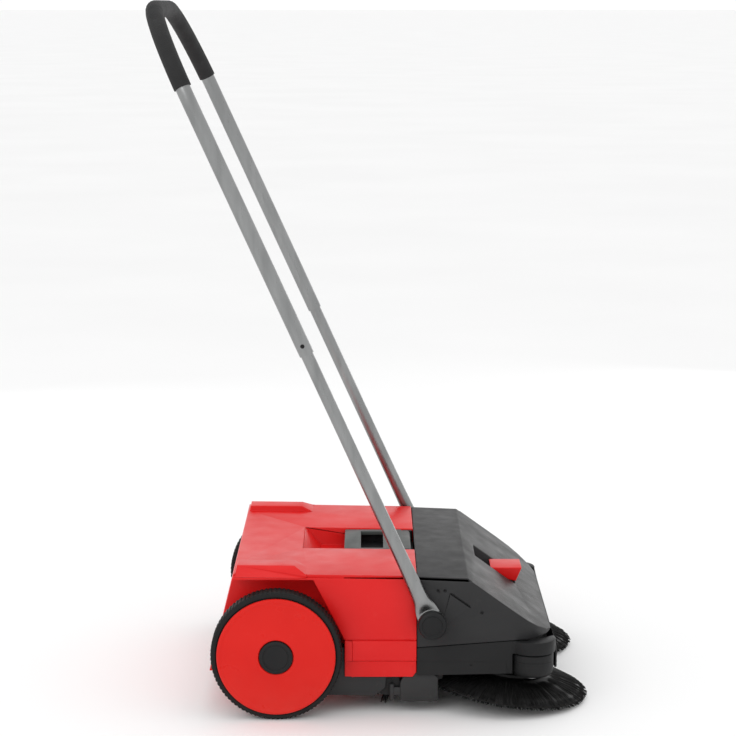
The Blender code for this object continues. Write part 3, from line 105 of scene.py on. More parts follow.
def makeFinish(name, values):
    # one moulded, rubber or metal finish: colour drift, scuffs, dust low down, uneven gloss and grain
    material = bpy.data.materials.new(name)
    material.use_nodes = True
    tree = material.node_tree
    shader = tree.nodes["Principled BSDF"]
    coords = addNode(tree, "ShaderNodeTexCoord")
    turned = addNode(tree, "ShaderNodeMapping")
    turned.inputs["Rotation"].default_value = [radians(a) for a in values.get("turn", (0, 0, 0))]
    turned.inputs["Scale"].default_value = values.get("stretch", (1, 1, 1))
    tree.links.new(coords.outputs["Object"], turned.inputs["Vector"])

    def noise(scale, detail, source=turned.outputs["Vector"]):
        node = addNode(tree, "ShaderNodeTexNoise")
        node.inputs["Scale"].default_value = scale
        node.inputs["Detail"].default_value = detail
        tree.links.new(source, node.inputs["Vector"])
        return node.outputs["Fac"]

    def ranged(source, low, high, start, end):
        node = addNode(tree, "ShaderNodeMapRange")
        tree.links.new(source, node.inputs["Value"])
        node.inputs["From Min"].default_value = low
        node.inputs["From Max"].default_value = high
        node.inputs["To Min"].default_value = start
        node.inputs["To Max"].default_value = end
        return node.outputs["Result"]

    def mixed(amount, colourA, colourB):
        node = addNode(tree, "ShaderNodeMix", data_type="RGBA")
        tree.links.new(amount, node.inputs[0])
        for socket, colour in ((node.inputs[6], colourA), (node.inputs[7], colourB)):
            if isinstance(colour, tuple):
                socket.default_value = (*colour, 1.0)
            else:
                tree.links.new(colour, socket)
        return node.outputs[2]

    drift = ranged(noise(values.get("driftScale", 9.0), 3.0), 0.35, 0.65, 0.0, 1.0)
    colour = mixed(drift, values["colour"], values["drift"])
    specks = noise(values.get("scuffScale", 70.0), 8.0)
    scuffs = ranged(specks, 0.64, 0.74, 0.0, values.get("scuffs", 0.15))
    colour = mixed(scuffs, colour, values["scuffed"])
    if "dusty" in values:
        height = addNode(tree, "ShaderNodeSeparateXYZ")
        tree.links.new(coords.outputs["Object"], height.inputs["Vector"])
        reach, most = values.get("dustHeight", 0.09), values.get("dust", 0.2)
        low = ranged(height.outputs["Z"], 0.0, reach, most, 0.0)
        patches = addNode(tree, "ShaderNodeMath", operation="MULTIPLY")
        tree.links.new(low, patches.inputs[0])
        tree.links.new(noise(45.0, 6.0, coords.outputs["Object"]), patches.inputs[1])
        colour = mixed(patches.outputs[0], colour, values["dusty"])
    tree.links.new(colour, shader.inputs["Base Color"])

    gloss = noise(values.get("glossScale", 28.0), 5.0)
    rough = ranged(gloss, 0.3, 0.7, values["gloss"][0], values["gloss"][1])
    tree.links.new(rough, shader.inputs["Roughness"])

    grain = noise(values.get("grainScale", 900.0), 3.0)
    if values.get("cells"):
        cells = addNode(tree, "ShaderNodeTexVoronoi")
        cells.inputs["Scale"].default_value = values["grainScale"]
        tree.links.new(turned.outputs["Vector"], cells.inputs["Vector"])
        grain = cells.outputs["Distance"]
    bump = addNode(tree, "ShaderNodeBump")
    bump.inputs["Strength"].default_value = values.get("grainStrength", 0.25)
    bump.inputs["Distance"].default_value = values.get("grainDepth", 0.0002)
    tree.links.new(grain, bump.inputs["Height"])
    tree.links.new(bump.outputs["Normal"], shader.inputs["Normal"])
    shader.inputs["Metallic"].default_value = values.get("metallic", 0.0)
    shader.inputs["Coat Weight"].default_value = values.get("coat", 0.0)
    shader.inputs["Coat Roughness"].default_value = 0.25
    shader.inputs["Specular IOR Level"].default_value = values.get("shine", 0.5)
    return material


finishValues = {
    "redBody": {
        "colour": (0.660, 0.0075, 0.0075), "drift": (0.690, 0.0100, 0.0100), "shine": 0.26,
        "scuffed": (0.72, 0.075, 0.062), "dusty": (0.55, 0.10, 0.085), "gloss": (0.30, 0.42),
        "grainScale": 1100.0, "grainStrength": 0.16, "scuffs": 0.12,
    },
    "redWheel": {
        "colour": (0.620, 0.0080, 0.0040), "drift": (0.660, 0.0110, 0.0060),
        "scuffed": (0.68, 0.05, 0.035), "shine": 0.22, "dusty": (0.56, 0.11, 0.08),
        "gloss": (0.26, 0.38), "grainStrength": 0.10, "scuffs": 0.14,
    },
    "charcoalHood": {
        "colour": (0.0165, 0.0165, 0.0172), "drift": (0.0215, 0.0215, 0.0222),
        "scuffed": (0.044, 0.044, 0.044), "shine": 0.28, "gloss": (0.44, 0.58), "grainScale": 1500.0,
        "grainStrength": 0.40, "grainDepth": 0.0003, "scuffs": 0.10, "cells": True,
    },
    "blackBase": {
        "colour": (0.0090, 0.0092, 0.0098), "drift": (0.0130, 0.0132, 0.0135),
        "scuffed": (0.036, 0.035, 0.033), "shine": 0.20, "dusty": (0.070, 0.062, 0.052),
        "gloss": (0.40, 0.56), "grainScale": 1500.0, "grainStrength": 0.35, "grainDepth": 0.0003,
        "scuffs": 0.10, "dust": 0.10, "cells": True,
    },
    "greyHandle": {
        "colour": (0.056, 0.062, 0.059), "drift": (0.066, 0.072, 0.069),
        "scuffed": (0.13, 0.13, 0.13), "shine": 0.35, "gloss": (0.42, 0.55), "grainScale": 1300.0,
        "grainStrength": 0.25, "scuffs": 0.12,
    },
    "greyCover": {
        "colour": (0.018, 0.019, 0.020), "drift": (0.025, 0.025, 0.026), "shine": 0.30,
        "scuffed": (0.10, 0.10, 0.095), "dusty": (0.085, 0.078, 0.068), "gloss": (0.42, 0.58),
        "grainScale": 1300.0, "scuffs": 0.14,
    },
    "tyreRubber": {
        "colour": (0.0080, 0.0080, 0.0084), "drift": (0.0120, 0.0119, 0.0117),
        "scuffed": (0.034, 0.032, 0.030), "shine": 0.20, "dusty": (0.075, 0.066, 0.055),
        "gloss": (0.55, 0.75), "grainScale": 800.0, "grainStrength": 0.45, "grainDepth": 0.0004,
        "scuffs": 0.16, "dust": 0.16,
    },
    "gripFoam": {
        "colour": (0.0120, 0.0120, 0.0125), "drift": (0.0180, 0.0180, 0.0185), "shine": 0.35,
        "scuffed": (0.050, 0.050, 0.050), "gloss": (0.66, 0.86), "grainScale": 620.0,
        "grainStrength": 0.8, "grainDepth": 0.0007, "cells": True, "scuffs": 0.18,
    },
    "blackBristle": {
        "colour": (0.0045, 0.0045, 0.0047), "drift": (0.0080, 0.0079, 0.0077),
        "scuffed": (0.020, 0.019, 0.018), "shine": 0.22, "dusty": (0.060, 0.055, 0.047),
        "gloss": (0.38, 0.55), "driftScale": 160.0, "scuffScale": 300.0, "dustHeight": 0.02,
        "dust": 0.10,
    },
    "whiteAcetal": {
        "colour": (0.60, 0.585, 0.53), "drift": (0.66, 0.645, 0.60), "scuffed": (0.40, 0.38, 0.34),
        "dusty": (0.30, 0.27, 0.22), "gloss": (0.32, 0.46), "grainScale": 1200.0, "scuffs": 0.2,
    },
    "satinSteel": {
        "colour": (0.245, 0.25, 0.25), "drift": (0.295, 0.30, 0.30), "scuffed": (0.17, 0.17, 0.17),
        "gloss": (0.26, 0.38), "metallic": 1.0, "turn": (0, 24.5, 0), "stretch": (1, 1, 0.02),
        "grainScale": 2600.0, "grainStrength": 0.35, "grainDepth": 0.0001, "driftScale": 60.0,
        "glossScale": 400.0, "scuffScale": 900.0, "scuffs": 0.25,
    },
}
finish = {name: makeFinish(name, values) for name, values in finishValues.items()}
finishOfSlot = {
    "red_plastic": "redBody", "wheel_red_plastic": "redWheel", "black_plastic": "blackBase",
    "hood_plastic": "charcoalHood", "grey_plastic": "greyCover", "white_plastic": "whiteAcetal",
    "rubber": "tyreRubber", "foam": "gripFoam", "bristle": "blackBristle", "steel": "satinSteel",
}
for nodeName, cadNode in frame["nodes"].items():
    cadNode.data.materials.clear()
    # the double pulleys look black here although their slot is white plastic
    dark = nodeName.startswith("roller_pulley")
    cadNode.data.materials.append(finish["blackBase" if dark else finishOfSlot[slotOf[nodeName]]])
print("finishes made")

floorValues = {"half": 400.0, "colour": (0.91, 0.91, 0.91), "drift": (0.93, 0.93, 0.93)}
bpy.ops.object.select_all(action="DESELECT")
bpy.ops.mesh.primitive_plane_add(size=2.0 * floorValues["half"], location=(0.0, 0.0, 0.0))
floor = bpy.context.object
floor.name = "studioFloor"
floor.data.materials.append(makeFinish("paleFloor", {
    "colour": floorValues["colour"], "drift": floorValues["drift"],
    "scuffed": (0.89, 0.89, 0.89), "gloss": (0.75, 0.85),
    "driftScale": 0.8, "scuffs": 0.05, "shine": 0.2, "grainStrength": 0.02,
}))


# modelling steps shared by the pieces
def pickOnly(*chosen):
    bpy.ops.object.select_all(action="DESELECT")
    for piece in chosen:
        piece.select_set(True)
    bpy.context.view_layer.objects.active = chosen[0]


def pickFaces(piece, wanted):
    # leaves the piece in edit mode with the wanted faces selected
    pickOnly(piece)
    bpy.ops.object.mode_set(mode="EDIT")
    bpy.ops.mesh.select_mode(type="FACE")
    bpy.ops.mesh.select_all(action="DESELECT")
    bpy.ops.object.mode_set(mode="OBJECT")
    for face in piece.data.polygons:
        face.select = wanted(face)
    bpy.ops.object.mode_set(mode="EDIT")


def applyModifier(piece, kind, **settings):
    modifier = piece.modifiers.new(kind.title(), kind)
    for name, value in settings.items():
        setattr(modifier, name, value)
    pickOnly(piece)
    bpy.ops.object.modifier_apply(modifier=modifier.name)


def settle(piece, angle=35.0):
    # place into the mesh, then soft shading up to the given angle
    pickOnly(piece)
    bpy.ops.object.transform_apply(location=True, rotation=True, scale=True)
    bpy.ops.object.shade_smooth_by_angle(angle=radians(angle))


def finishPiece(piece, node, finishName, replace=True):
    # rides, slot and stand-in all follow the frame's own node
    piece.data.materials.clear()
    piece.data.materials.append(finish[finishName])
    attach(piece, bodyOf[node])
    if replace:
        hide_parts(node)
    return piece


def nodeCopy(node, name):
    # own mesh, joined up and with its flat faces whole again
    piece = bpy.data.objects.new(name, frame["nodes"][node].data.copy())
    piece.data.name = name
    bpy.context.collection.objects.link(piece)
    pickOnly(piece)
    if piece.data.has_custom_normals:
        bpy.ops.mesh.customdata_custom_splitnormals_clear()
    bpy.ops.object.mode_set(mode="EDIT")
    bpy.ops.mesh.select_all(action="SELECT")
    bpy.ops.mesh.remove_doubles(threshold=0.00002)
    bpy.ops.mesh.dissolve_limited(angle_limit=radians(0.6))
    bpy.ops.object.mode_set(mode="OBJECT")
    return piece


def softenEdges(piece, width, segments=3, angle=28.0):
    applyModifier(piece, "BEVEL", width=width, segments=segments, limit_method="ANGLE",
                  angle_limit=radians(angle), use_clamp_overlap=False, miter_outer="MITER_ARC")


def softCopy(node, name, finishName, width, segments=3, angle=28.0):
    piece = nodeCopy(node, name)
    softenEdges(piece, width, segments, angle)
    settle(piece, 40.0)
    return finishPiece(piece, node, finishName)


def spunPiece(name, profile, steps):
    # a profile of (radius, height) points, extruded point by point and spun round the vertical
    bpy.ops.object.select_all(action="DESELECT")
    bpy.ops.mesh.primitive_plane_add(size=0.001, location=(0.0, 0.0, 0.0))
    piece = bpy.context.object
    piece.name = name
    piece.data.name = name
    bpy.ops.object.mode_set(mode="EDIT")
    bpy.ops.mesh.select_mode(type="VERT")
    bpy.ops.mesh.select_all(action="SELECT")
    bpy.ops.mesh.merge(type="CENTER")
    bpy.ops.transform.translate(value=(profile[0][0], 0.0, profile[0][1]))
    for (radius, height), (nextRadius, nextHeight) in zip(profile, profile[1:]):
        step = (nextRadius - radius, 0.0, nextHeight - height)
        bpy.ops.mesh.extrude_region_move(TRANSFORM_OT_translate={"value": step})
    bpy.ops.mesh.select_all(action="SELECT")
    bpy.ops.mesh.spin(steps=steps, angle=2.0 * pi, center=(0.0, 0.0, 0.0), axis=(0.0, 0.0, 1.0))
    bpy.ops.mesh.select_all(action="SELECT")
    bpy.ops.mesh.remove_doubles(threshold=0.00001)
    bpy.ops.mesh.normals_make_consistent(inside=False)
    bpy.ops.object.mode_set(mode="OBJECT")
    return piece


def turnSideways(piece, centre, angle=35.0):
    # a piece spun upright becomes one on the right side, its heights now distances from the middle
    piece.rotation_euler = (radians(90.0), 0.0, 0.0)
    piece.location = centre
    settle(piece, angle)


def twinOf(piece, name, centreX):
    # the other side's piece: half a turn round the upright line through centreX, with its own mesh
    pickOnly(piece)
    bpy.ops.object.duplicate()
    twin = bpy.context.object
    twin.name = name
    twin.data.name = name
    twin.rotation_euler = (0.0, 0.0, pi)
    twin.location = (2.0 * centreX, 0.0, 0.0)
    bpy.ops.object.transform_apply(location=True, rotation=True, scale=True)
    return twin


def bothSides(piece, node, finishName, centreX):
    twin = twinOf(piece, piece.name.replace("Right", "Left"), centreX)
    finishPiece(piece, node + "_right", finishName)
    finishPiece(twin, node + "_left", finishName)


def blockBetween(low, high):
    middle = [(a + b) / 2.0 for a, b in zip(low, high)]
    bpy.ops.object.select_all(action="DESELECT")
    bpy.ops.mesh.primitive_cube_add(size=1.0, location=middle)
    block = bpy.context.object
    block.scale = [abs(b - a) for a, b in zip(low, high)]
    return block


def cutBlock(piece, low, high):
    cutWith(piece, blockBetween(low, high))


def cutRound(piece, centre, radius, depth, turn):
    bpy.ops.object.select_all(action="DESELECT")
    bpy.ops.mesh.primitive_cylinder_add(
        vertices=24, radius=radius, depth=depth, location=centre, rotation=turn)
    cutWith(piece, bpy.context.object)


def addBlock(piece, low, high):
    cutWith(piece, blockBetween(low, high), "UNION")


def cutWith(piece, cutter, operation="DIFFERENCE"):
    pickOnly(cutter)
    bpy.ops.object.transform_apply(location=True, rotation=True, scale=True)
    applyModifier(piece, "BOOLEAN", object=cutter, operation=operation, solver="EXACT")
    bpy.data.objects.remove(cutter)


def tubeAlong(name, route, radius, resolution):
    # a round bar along a route of points, as a mesh
    curve = bpy.data.curves.new(name, "CURVE")
    curve.dimensions = "3D"
    spline = curve.splines.new("POLY")
    spline.points.add(len(route) - 1)
    for point, place in zip(spline.points, route):
        point.co = (*place, 1.0)
    curve.bevel_depth = radius
    curve.bevel_resolution = resolution
    curve.use_fill_caps = True
    piece = bpy.data.objects.new(name, curve)
    bpy.context.collection.objects.link(piece)
    pickOnly(piece)
    bpy.ops.object.convert(target="MESH")
    return bpy.context.object


def strandsMesh(name, strands, thickness):
    # many fine bristles in one mesh, each a square filament along its own points
    curve = bpy.data.curves.new(name, "CURVE")
    curve.dimensions = "3D"
    for strand in strands:
        spline = curve.splines.new("POLY")
        spline.points.add(len(strand) - 1)
        for i, place in enumerate(strand):
            spline.points[i].co = (*place, 1.0)
            spline.points[i].radius = 1.0 - 0.45 * i / (len(strand) - 1)
    curve.bevel_depth = thickness
    curve.bevel_resolution = 0
    piece = bpy.data.objects.new(name, curve)
    bpy.context.collection.objects.link(piece)
    pickOnly(piece)
    bpy.ops.object.convert(target="MESH")
    piece = bpy.context.object
    bpy.ops.object.shade_smooth()
    return piece


# container
containerValues = {
    "edge": 0.0011, "grooveZ": 0.1165, "groove": 0.0016, "grooveDepth": 0.0012,
    "bandTop": 0.0835, "bandDepth": 0.0011, "bandRear": -0.0445,
    "humpLean": 0.0205, "bandClear": 0.0037, "wallIn": 0.2353, "creaseFoot": -0.0280,
}


# height of the black sheets on the handle recess walls: painted shade standing for the deep shadow under the carry
# handle
recessShadeSheetValues = {"height": 0.0240}


def makeContainer():
    values = containerValues
    low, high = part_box("container_shell")
    piece = nodeCopy("container_shell", "dirtContainer")
    for vertex in piece.data.vertices:
        # the humps' outer walls lean in from their foot to their top
        if vertex.co.z > high.z - 0.0065 and abs(vertex.co.y) > high.y - 0.010:
            vertex.co.y -= values["humpLean"] if vertex.co.y > 0.0 else -values["humpLean"]
    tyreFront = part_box("tyre_right")[1].x + values["bandClear"]
    for side in (-1.0, 1.0):
        # the lower band of the outer wall reaches back to the tyre
        addBlock(piece, (tyreFront, side * values["wallIn"], low.z + 0.0005),
                 (values["creaseFoot"], side * (high.y - 0.0015), values["grooveZ"]))
    grooveLow = values["grooveZ"] - values["groove"] / 2.0
    grooveHigh = values["grooveZ"] + values["groove"] / 2.0
    for side in (-1.0, 1.0):
        outer = side * (high.y + 0.002)
        face = side * (high.y - 0.0026)       # the leaning side at mid height
        cutBlock(piece, (values["bandRear"], outer, grooveLow),
                 (high.x + 0.01, face - side * values["grooveDepth"], grooveHigh))
        cutBlock(piece, (-0.3, outer, low.z - 0.01),
                 (high.x + 0.01, face - side * values["bandDepth"], values["bandTop"]))
    softenEdges(piece, values["edge"], 3, 33.0)
    settle(piece, 40.0)
    finishPiece(piece, "container_shell", "redBody")


def makeHandleBed():
    # with thin black sheets on the recess walls beside the handle: painted shade, so the window under the handle
    # reads as deep shadow
    piece = softCopy("handle_bed", "handleBed", "blackBase", 0.0008, 2)
    low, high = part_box("handle_bed")
    # painted shade: black sheets on the recess walls darken the window under the handle
    for side in (-1.0, 1.0):
        addBlock(piece, (low.x + 0.0005, side * (high.y - 0.0007), low.z + 0.0006),
                 (high.x - 0.0005, side * (high.y - 0.0001), low.z + recessShadeSheetValues["height"]))


makeContainer()
makeHandleBed()
softCopy("carry_handle", "carryHandle", "greyHandle", 0.0014, 3)
print("container made")


# hood, base and the parts on them
hoodValues = {
    "edge": 0.0016, "dotR": 0.0017,
    "dots": ((0.1021, 0.1947), (0.1127, 0.1947), (0.1693, 0.1601)),
    "line": ((0.1219, 0.1900), (0.1509, 0.1696)), "lineWidth": 0.0011, "lineDepth": 0.0009,
    "bossRise": 0.0087,
}


def makeHood():
    values = hoodValues
    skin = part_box("hood_cover")[1].y - values["bossRise"]     # the flat side, inside the pivot bosses
    piece = nodeCopy("hood_cover", "hood")
    (x0, z0), (x1, z1) = values["line"]
    lean = atan2(z0 - z1, x1 - x0)
    for side in (-1.0, 1.0):
        for x, z in values["dots"]:
            cutRound(piece, (x, side * skin, z), values["dotR"], 0.0032, (pi / 2.0, 0.0, 0.0))
        bpy.ops.object.select_all(action="DESELECT")
        middle = ((x0 + x1) / 2.0, side * skin, (z0 + z1) / 2.0)
        bpy.ops.mesh.primitive_cube_add(size=1.0, location=middle)
        line = bpy.context.object
        line.scale = ((x1 - x0) / cos(lean), 2.0 * values["lineDepth"], values["lineWidth"])
        line.rotation_euler = (0.0, lean, 0.0)
        cutWith(piece, line)
    softenEdges(piece, values["edge"], 3, 33.0)
    settle(piece, 40.0)
    finishPiece(piece, "hood_cover", "charcoalHood")


baseValues = {
    "edge": 0.0012, "ridgeZ": 0.0840, "ridgeDepth": 0.0012, "dotR": 0.0019, "dot": (0.1532, 0.0780),
    "padRear": 0.2080,
}


def makeBase():
    values = baseValues
    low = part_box("chassis_base")[0]
    piece = nodeCopy("chassis_base", "chassisBase")
    softenEdges(piece, values["edge"], 2, 28.0)
    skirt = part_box("hood_cover")[1].y - 0.0085
    dotX, dotZ = values["dot"]
    for side in (-1.0, 1.0):
        cutBlock(piece, (low.x - 0.01, side * (skirt - values["ridgeDepth"]), low.z - 0.01),
                 (values["padRear"], side * (skirt + 0.003), values["ridgeZ"]))
        cutRound(piece, (dotX, side * skirt, dotZ), values["dotR"], 0.0050, (pi / 2.0, 0.0, 0.0))
    settle(piece, 40.0)
    finishPiece(piece, "chassis_base", "blackBase")


makeHood()
makeBase()
softCopy("height_lever", "heightLever", "redBody", 0.0016, 3)
softCopy("support_fork", "supportFork", "blackBase", 0.0008, 2)
for word in sideSign:
    title = word.title()
    softCopy("side_arm_" + word, "sideArm" + title, "greyCover", 0.0009, 2)
    softCopy("drive_cover_" + word, "driveCover" + title, "greyCover", 0.0012, 2)
    softCopy("belt_guard_" + word, "beltGuard" + title, "greyCover", 0.0012, 2)
print("hood and base made")


# wheels
tyreValues = {"steps": 180, "rib": 0.0010, "shoulder": 0.0042, "wall": 0.0055}


def makeTyres():
    values = tyreValues
    low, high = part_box("tyre_right")
    radius = (high.x - low.x) / 2.0
    inner, outer = -high.y, -low.y
    seat = radius - 0.0152
    shoulder, wall = values["shoulder"], values["wall"]
    profile = (
        (seat, inner + 0.0010), (radius - wall - 0.002, inner + 0.0002), (radius - wall, inner),
        (radius - 0.0022, inner + 0.0010), (radius - 0.0006, inner + 0.0026), (radius, inner + shoulder),
        (radius, outer - shoulder), (radius - 0.0006, outer - 0.0024), (radius - 0.0022, outer - 0.0008),
        (radius - wall, outer), (radius - wall - 0.0022, outer - 0.0002),
        (radius - wall - 0.0032, outer - 0.0014),
        (radius - wall - 0.0044, outer - 0.0014), (seat, outer - 0.0010), (seat, inner + 0.0010),
    )
    piece = spunPiece("tyreRight", profile, values["steps"])

    def groove(face):
        # every other strip of the tread and its shoulders
        centre = face.center
        ring = centre.xy.length
        strip = int((atan2(centre.y, centre.x) % (2.0 * pi)) / (2.0 * pi) * values["steps"])
        return ring > radius - 0.0016 and strip % 2 == 0

    pickFaces(piece, groove)
    bpy.ops.mesh.extrude_region_shrink_fatten(TRANSFORM_OT_shrink_fatten={"value": -values["rib"]})
    bpy.ops.object.mode_set(mode="OBJECT")
    turnSideways(piece, wheelCentre, 30.0)
    bothSides(piece, "tyre", "tyreRubber", wheelCentre.x)


discFaceValues = {"steps": 128, "roll": 0.0030, "dish": 0.0007}


def makeWheelDiscs():
    values = discFaceValues
    low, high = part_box("wheel_disc_right")
    radius = (high.x - low.x) / 2.0
    inner, outer = -high.y, -low.y
    capRadius = (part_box("hub_cap_right")[1].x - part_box("hub_cap_right")[0].x) / 2.0
    drum = radius - 0.0060
    roll, dish = values["roll"], values["dish"]
    profile = (
        (0.0083, inner + 0.003), (0.016, inner + 0.003), (0.016, inner + 0.023),
        (drum - 0.0045, inner + 0.023),
        (drum - 0.0045, inner), (drum, inner), (drum, outer - 0.0047), (radius - 0.0004, outer - 0.0047),
        (radius, outer - 0.0042), (radius, outer - roll), (radius - 0.0004, outer - 0.0014),
        (radius - 0.0014, outer - 0.0004), (radius - roll, outer), (radius - 0.0052, outer - 0.0002),
        (radius - 0.0066, outer - dish), (radius - 0.0095, outer - dish - 0.0002),
        (0.060, outer - dish - 0.0004),
        (capRadius + 0.0065, outer - dish - 0.0002), (capRadius + 0.0042, outer),
        (capRadius + 0.0018, outer),
        (capRadius + 0.0009, outer - 0.0006), (capRadius + 0.0007, outer - 0.005),
        (0.0083, outer - 0.005),
        (0.0083, inner + 0.003),
    )
    piece = spunPiece("wheelDiscRight", profile, values["steps"])
    turnSideways(piece, wheelCentre, 25.0)
    bothSides(piece, "wheel_disc", "redWheel", wheelCentre.x)


hubCapValues = {"steps": 72, "edge": 0.0016}


def makeHubCaps():
    low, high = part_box("hub_cap_right")
    radius = (high.x - low.x) / 2.0
    inner, outer = -high.y, -low.y
    edge = hubCapValues["edge"]
    profile = (
        (0.0, inner), (radius, inner), (radius, outer - edge - 0.0006),
        (radius - 0.0005, outer - 0.0009),
        (radius - edge, outer - 0.0003), (radius - 0.0030, outer), (radius - 0.0050, outer),
        (radius - 0.0058, outer - 0.0007), (radius - 0.0068, outer - 0.0007),
        (radius - 0.0076, outer - 0.0001),
        (0.0120, outer), (0.0, outer),
    )
    piece = spunPiece("hubCapRight", profile, hubCapValues["steps"])
    turnSideways(piece, wheelCentre, 30.0)
    bothSides(piece, "hub_cap", "blackBase", wheelCentre.x)


makeTyres()
makeWheelDiscs()
makeHubCaps()
print("wheels made")


# guide rollers and support roller
rollSteps = 72


def makeGuideRollers():
    low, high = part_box("guide_roller_right")
    radius = (high.x - low.x) / 2.0
    profile = (
        (0.0053, low.z), (radius - 0.0070, low.z), (radius - 0.0042, low.z + 0.0010),
        (radius - 0.0015, low.z + 0.0040), (radius - 0.0004, low.z + 0.0080), (radius, low.z + 0.0120),
        (radius, high.z - 0.0130), (radius - 0.0005, high.z - 0.0124),
        (radius - 0.0005, high.z - 0.0116),
        (radius, high.z - 0.0110), (radius, high.z - 0.0035), (radius - 0.0006, high.z - 0.0014),
        (radius - 0.0018, high.z - 0.0003), (radius - 0.0032, high.z), (radius - 0.0060, high.z),
        (radius - 0.0075, high.z - 0.0016), (0.0120, high.z - 0.0016), (0.0105, high.z),
        (0.0053, high.z),
        (0.0053, low.z),
    )
    centre = Vector(jointOf["guide_roller_right_spin"]["pos_m"])
    piece = spunPiece("guideRollerRight", profile, rollSteps)
    piece.location = (centre.x, centre.y, 0.0)
    settle(piece, 30.0)
    bothSides(piece, "guide_roller", "blackBase", centre.x)


def makeSupportRoller():
    low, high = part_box("support_roller")
    radius = (high.x - low.x) / 2.0
    half = high.y
    centre = Vector(jointOf["support_roller_spin"]["pos_m"])
    profile = (
        (0.0, -half), (0.0038, -half), (0.0038, -0.0212), (0.0080, -0.0210), (radius - 0.0030, -0.0210),
        (radius - 0.0009, -0.0201), (radius, -0.0180), (radius, -0.0012), (radius - 0.0009, 0.0),
        (radius, 0.0012), (radius, 0.0180), (radius - 0.0009, 0.0201), (radius - 0.0030, 0.0210),
        (0.0080, 0.0210), (0.0038, 0.0212), (0.0038, half), (0.0, half),
    )
    piece = spunPiece("supportRoller", profile, 56)
    turnSideways(piece, (centre.x, 0.0, centre.z), 30.0)
    finishPiece(piece, "support_roller", "tyreRubber")


makeGuideRollers()
makeSupportRoller()


# disc brushes
discBrushValues = {
    # rows of tufts: root radius, root height, tip radius, tip height, tufts
    "rows": (
        (0.0475, 0.0235, 0.1140, 0.0012, 40), (0.0500, 0.0250, 0.1290, 0.0016, 46),
        (0.0525, 0.0262, 0.1315, 0.0075, 48),
    ),
    # closed profile of the packed bristles under the loose strands
    "heart": (
        (0.0480, 0.0215), (0.0540, 0.0250), (0.0640, 0.0262), (0.0900, 0.0212), (0.1180, 0.0128),
        (0.1240, 0.0085),
        (0.1245, 0.0035), (0.1100, 0.0022), (0.0480, 0.0205), (0.0480, 0.0215),
    ),
    "strands": 20, "rootSpread": 0.0026, "tipSpread": 0.0125, "thickness": 0.00060, "droop": 0.0085,
    "plateLow": 0.0240, "plateTop": 0.0320,
}


def makeDiscBrushes():
    values = discBrushValues
    widening = values["tipSpread"] - values["rootSpread"]
    for word, side in sideSign.items():
        joint = jointOf["disc_brush_" + word + "_spin"]
        tilt = atan2(joint["axis"][0], joint["axis"][2])
        place = Matrix.Translation(joint["pos_m"]) @ Matrix.Rotation(tilt, 4, "Y")
        chance = Random(7 if side < 0 else 8)
        strands = []
        for rootR, rootZ, tipR, tipZ, tufts in values["rows"]:
            for tuft in range(tufts):
                angle = 2.0 * pi * (tuft + chance.uniform(-0.12, 0.12)) / tufts
                out = Vector((cos(angle), sin(angle), 0.0))
                along = Vector((-sin(angle), cos(angle), 0.0))
                for strand in range(values["strands"]):
                    sideways = chance.uniform(-1.0, 1.0)
                    reach = tipR - 0.006 * chance.random() ** 2
                    lift = chance.uniform(-1.0, 1.0)
                    points = []
                    for share in (0.0, 0.38, 0.72, 1.0):
                        r = rootR + (reach - rootR) * share + (1.0 - share) * lift * values["rootSpread"]
                        z = rootZ + (tipZ - rootZ) * share + values["droop"] * share * (1.0 - share) * 2.0
                        spread = values["rootSpread"] + widening * share
                        z += lift * 0.0016 * share * (1.0 - 0.55 * share)
                        spot = out * r + along * (sideways * spread) + Vector((0.0, 0.0, z))
                        points.append(place @ spot)
                    strands.append(points)
        piece = strandsMesh("discBristles" + word.title(), strands, values["thickness"])
        heart = spunPiece("bristleHeart", values["heart"], 96)
        heart.matrix_world = place
        settle(heart, 30.0)
        pickOnly(piece, heart)
        bpy.ops.object.join()
        finishPiece(piece, "disc_bristles_" + word, "blackBristle")

        low, top = values["plateLow"], values["plateTop"]
        profile = (
            (0.0083, low), (0.0440, low), (0.0520, low + 0.0008), (0.0545, low + 0.0022),
            (0.0550, low + 0.0036),
            (0.0544, top - 0.0012), (0.0530, top - 0.0004), (0.0500, top), (0.0460, top),
            (0.0445, top - 0.0014),
            (0.0220, top - 0.0014), (0.0195, top - 0.0004), (0.0182, top + 0.0020),
            (0.0180, top + 0.0092),
            (0.0172, top + 0.0100), (0.0083, top + 0.0100), (0.0083, low),
        )
        plate = spunPiece("discPlate" + word.title(), profile, rollSteps)
        plate.matrix_world = place
        settle(plate, 30.0)
        finishPiece(plate, "disc_plate_" + word, "blackBase")


makeDiscBrushes()
print("disc brushes made")


# roller brush
rollerValues = {
    "rows": 8, "pitch": 0.0058, "strands": 7, "thickness": 0.00045, "twist": 0.9, "root": 0.0178,
    "endGap": 0.004,
}


def makeRollerBrush():
    values = rollerValues
    low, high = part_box("roller_bristles")
    centre = Vector(jointOf["roller_spin"]["pos_m"])
    radius = (high.x - low.x) / 2.0
    half = high.y
    chance = Random(21)
    strands = []
    tufts = int(2.0 * (half - values["endGap"]) / values["pitch"])
    for row in range(values["rows"]):
        for tuft in range(tufts + 1):
            y = -half + values["endGap"] + tuft * values["pitch"]
            turn = 2.0 * pi * row / values["rows"] + values["twist"] * abs(y) / half
            for strand in range(values["strands"]):
                lean = turn + chance.uniform(-0.11, 0.11)
                slip = chance.uniform(-0.0032, 0.0032)
                reach = radius - 0.0015 * chance.random()
                root = Vector((values["root"] * sin(turn), 0.0, values["root"] * cos(turn)))
                tip = Vector((reach * sin(lean), 0.0, reach * cos(lean)))
                base = Vector((centre.x, y, centre.z))
                middle = root.lerp(tip, 0.55)
                bend = Vector((0.0, slip * 0.3, 0.0))
                strands.append([base + root, base + middle + bend, base + tip + Vector((0.0, slip, 0.0))])
    piece = strandsMesh("rollerBristles", strands, values["thickness"])
    finishPiece(piece, "roller_bristles", "blackBristle")


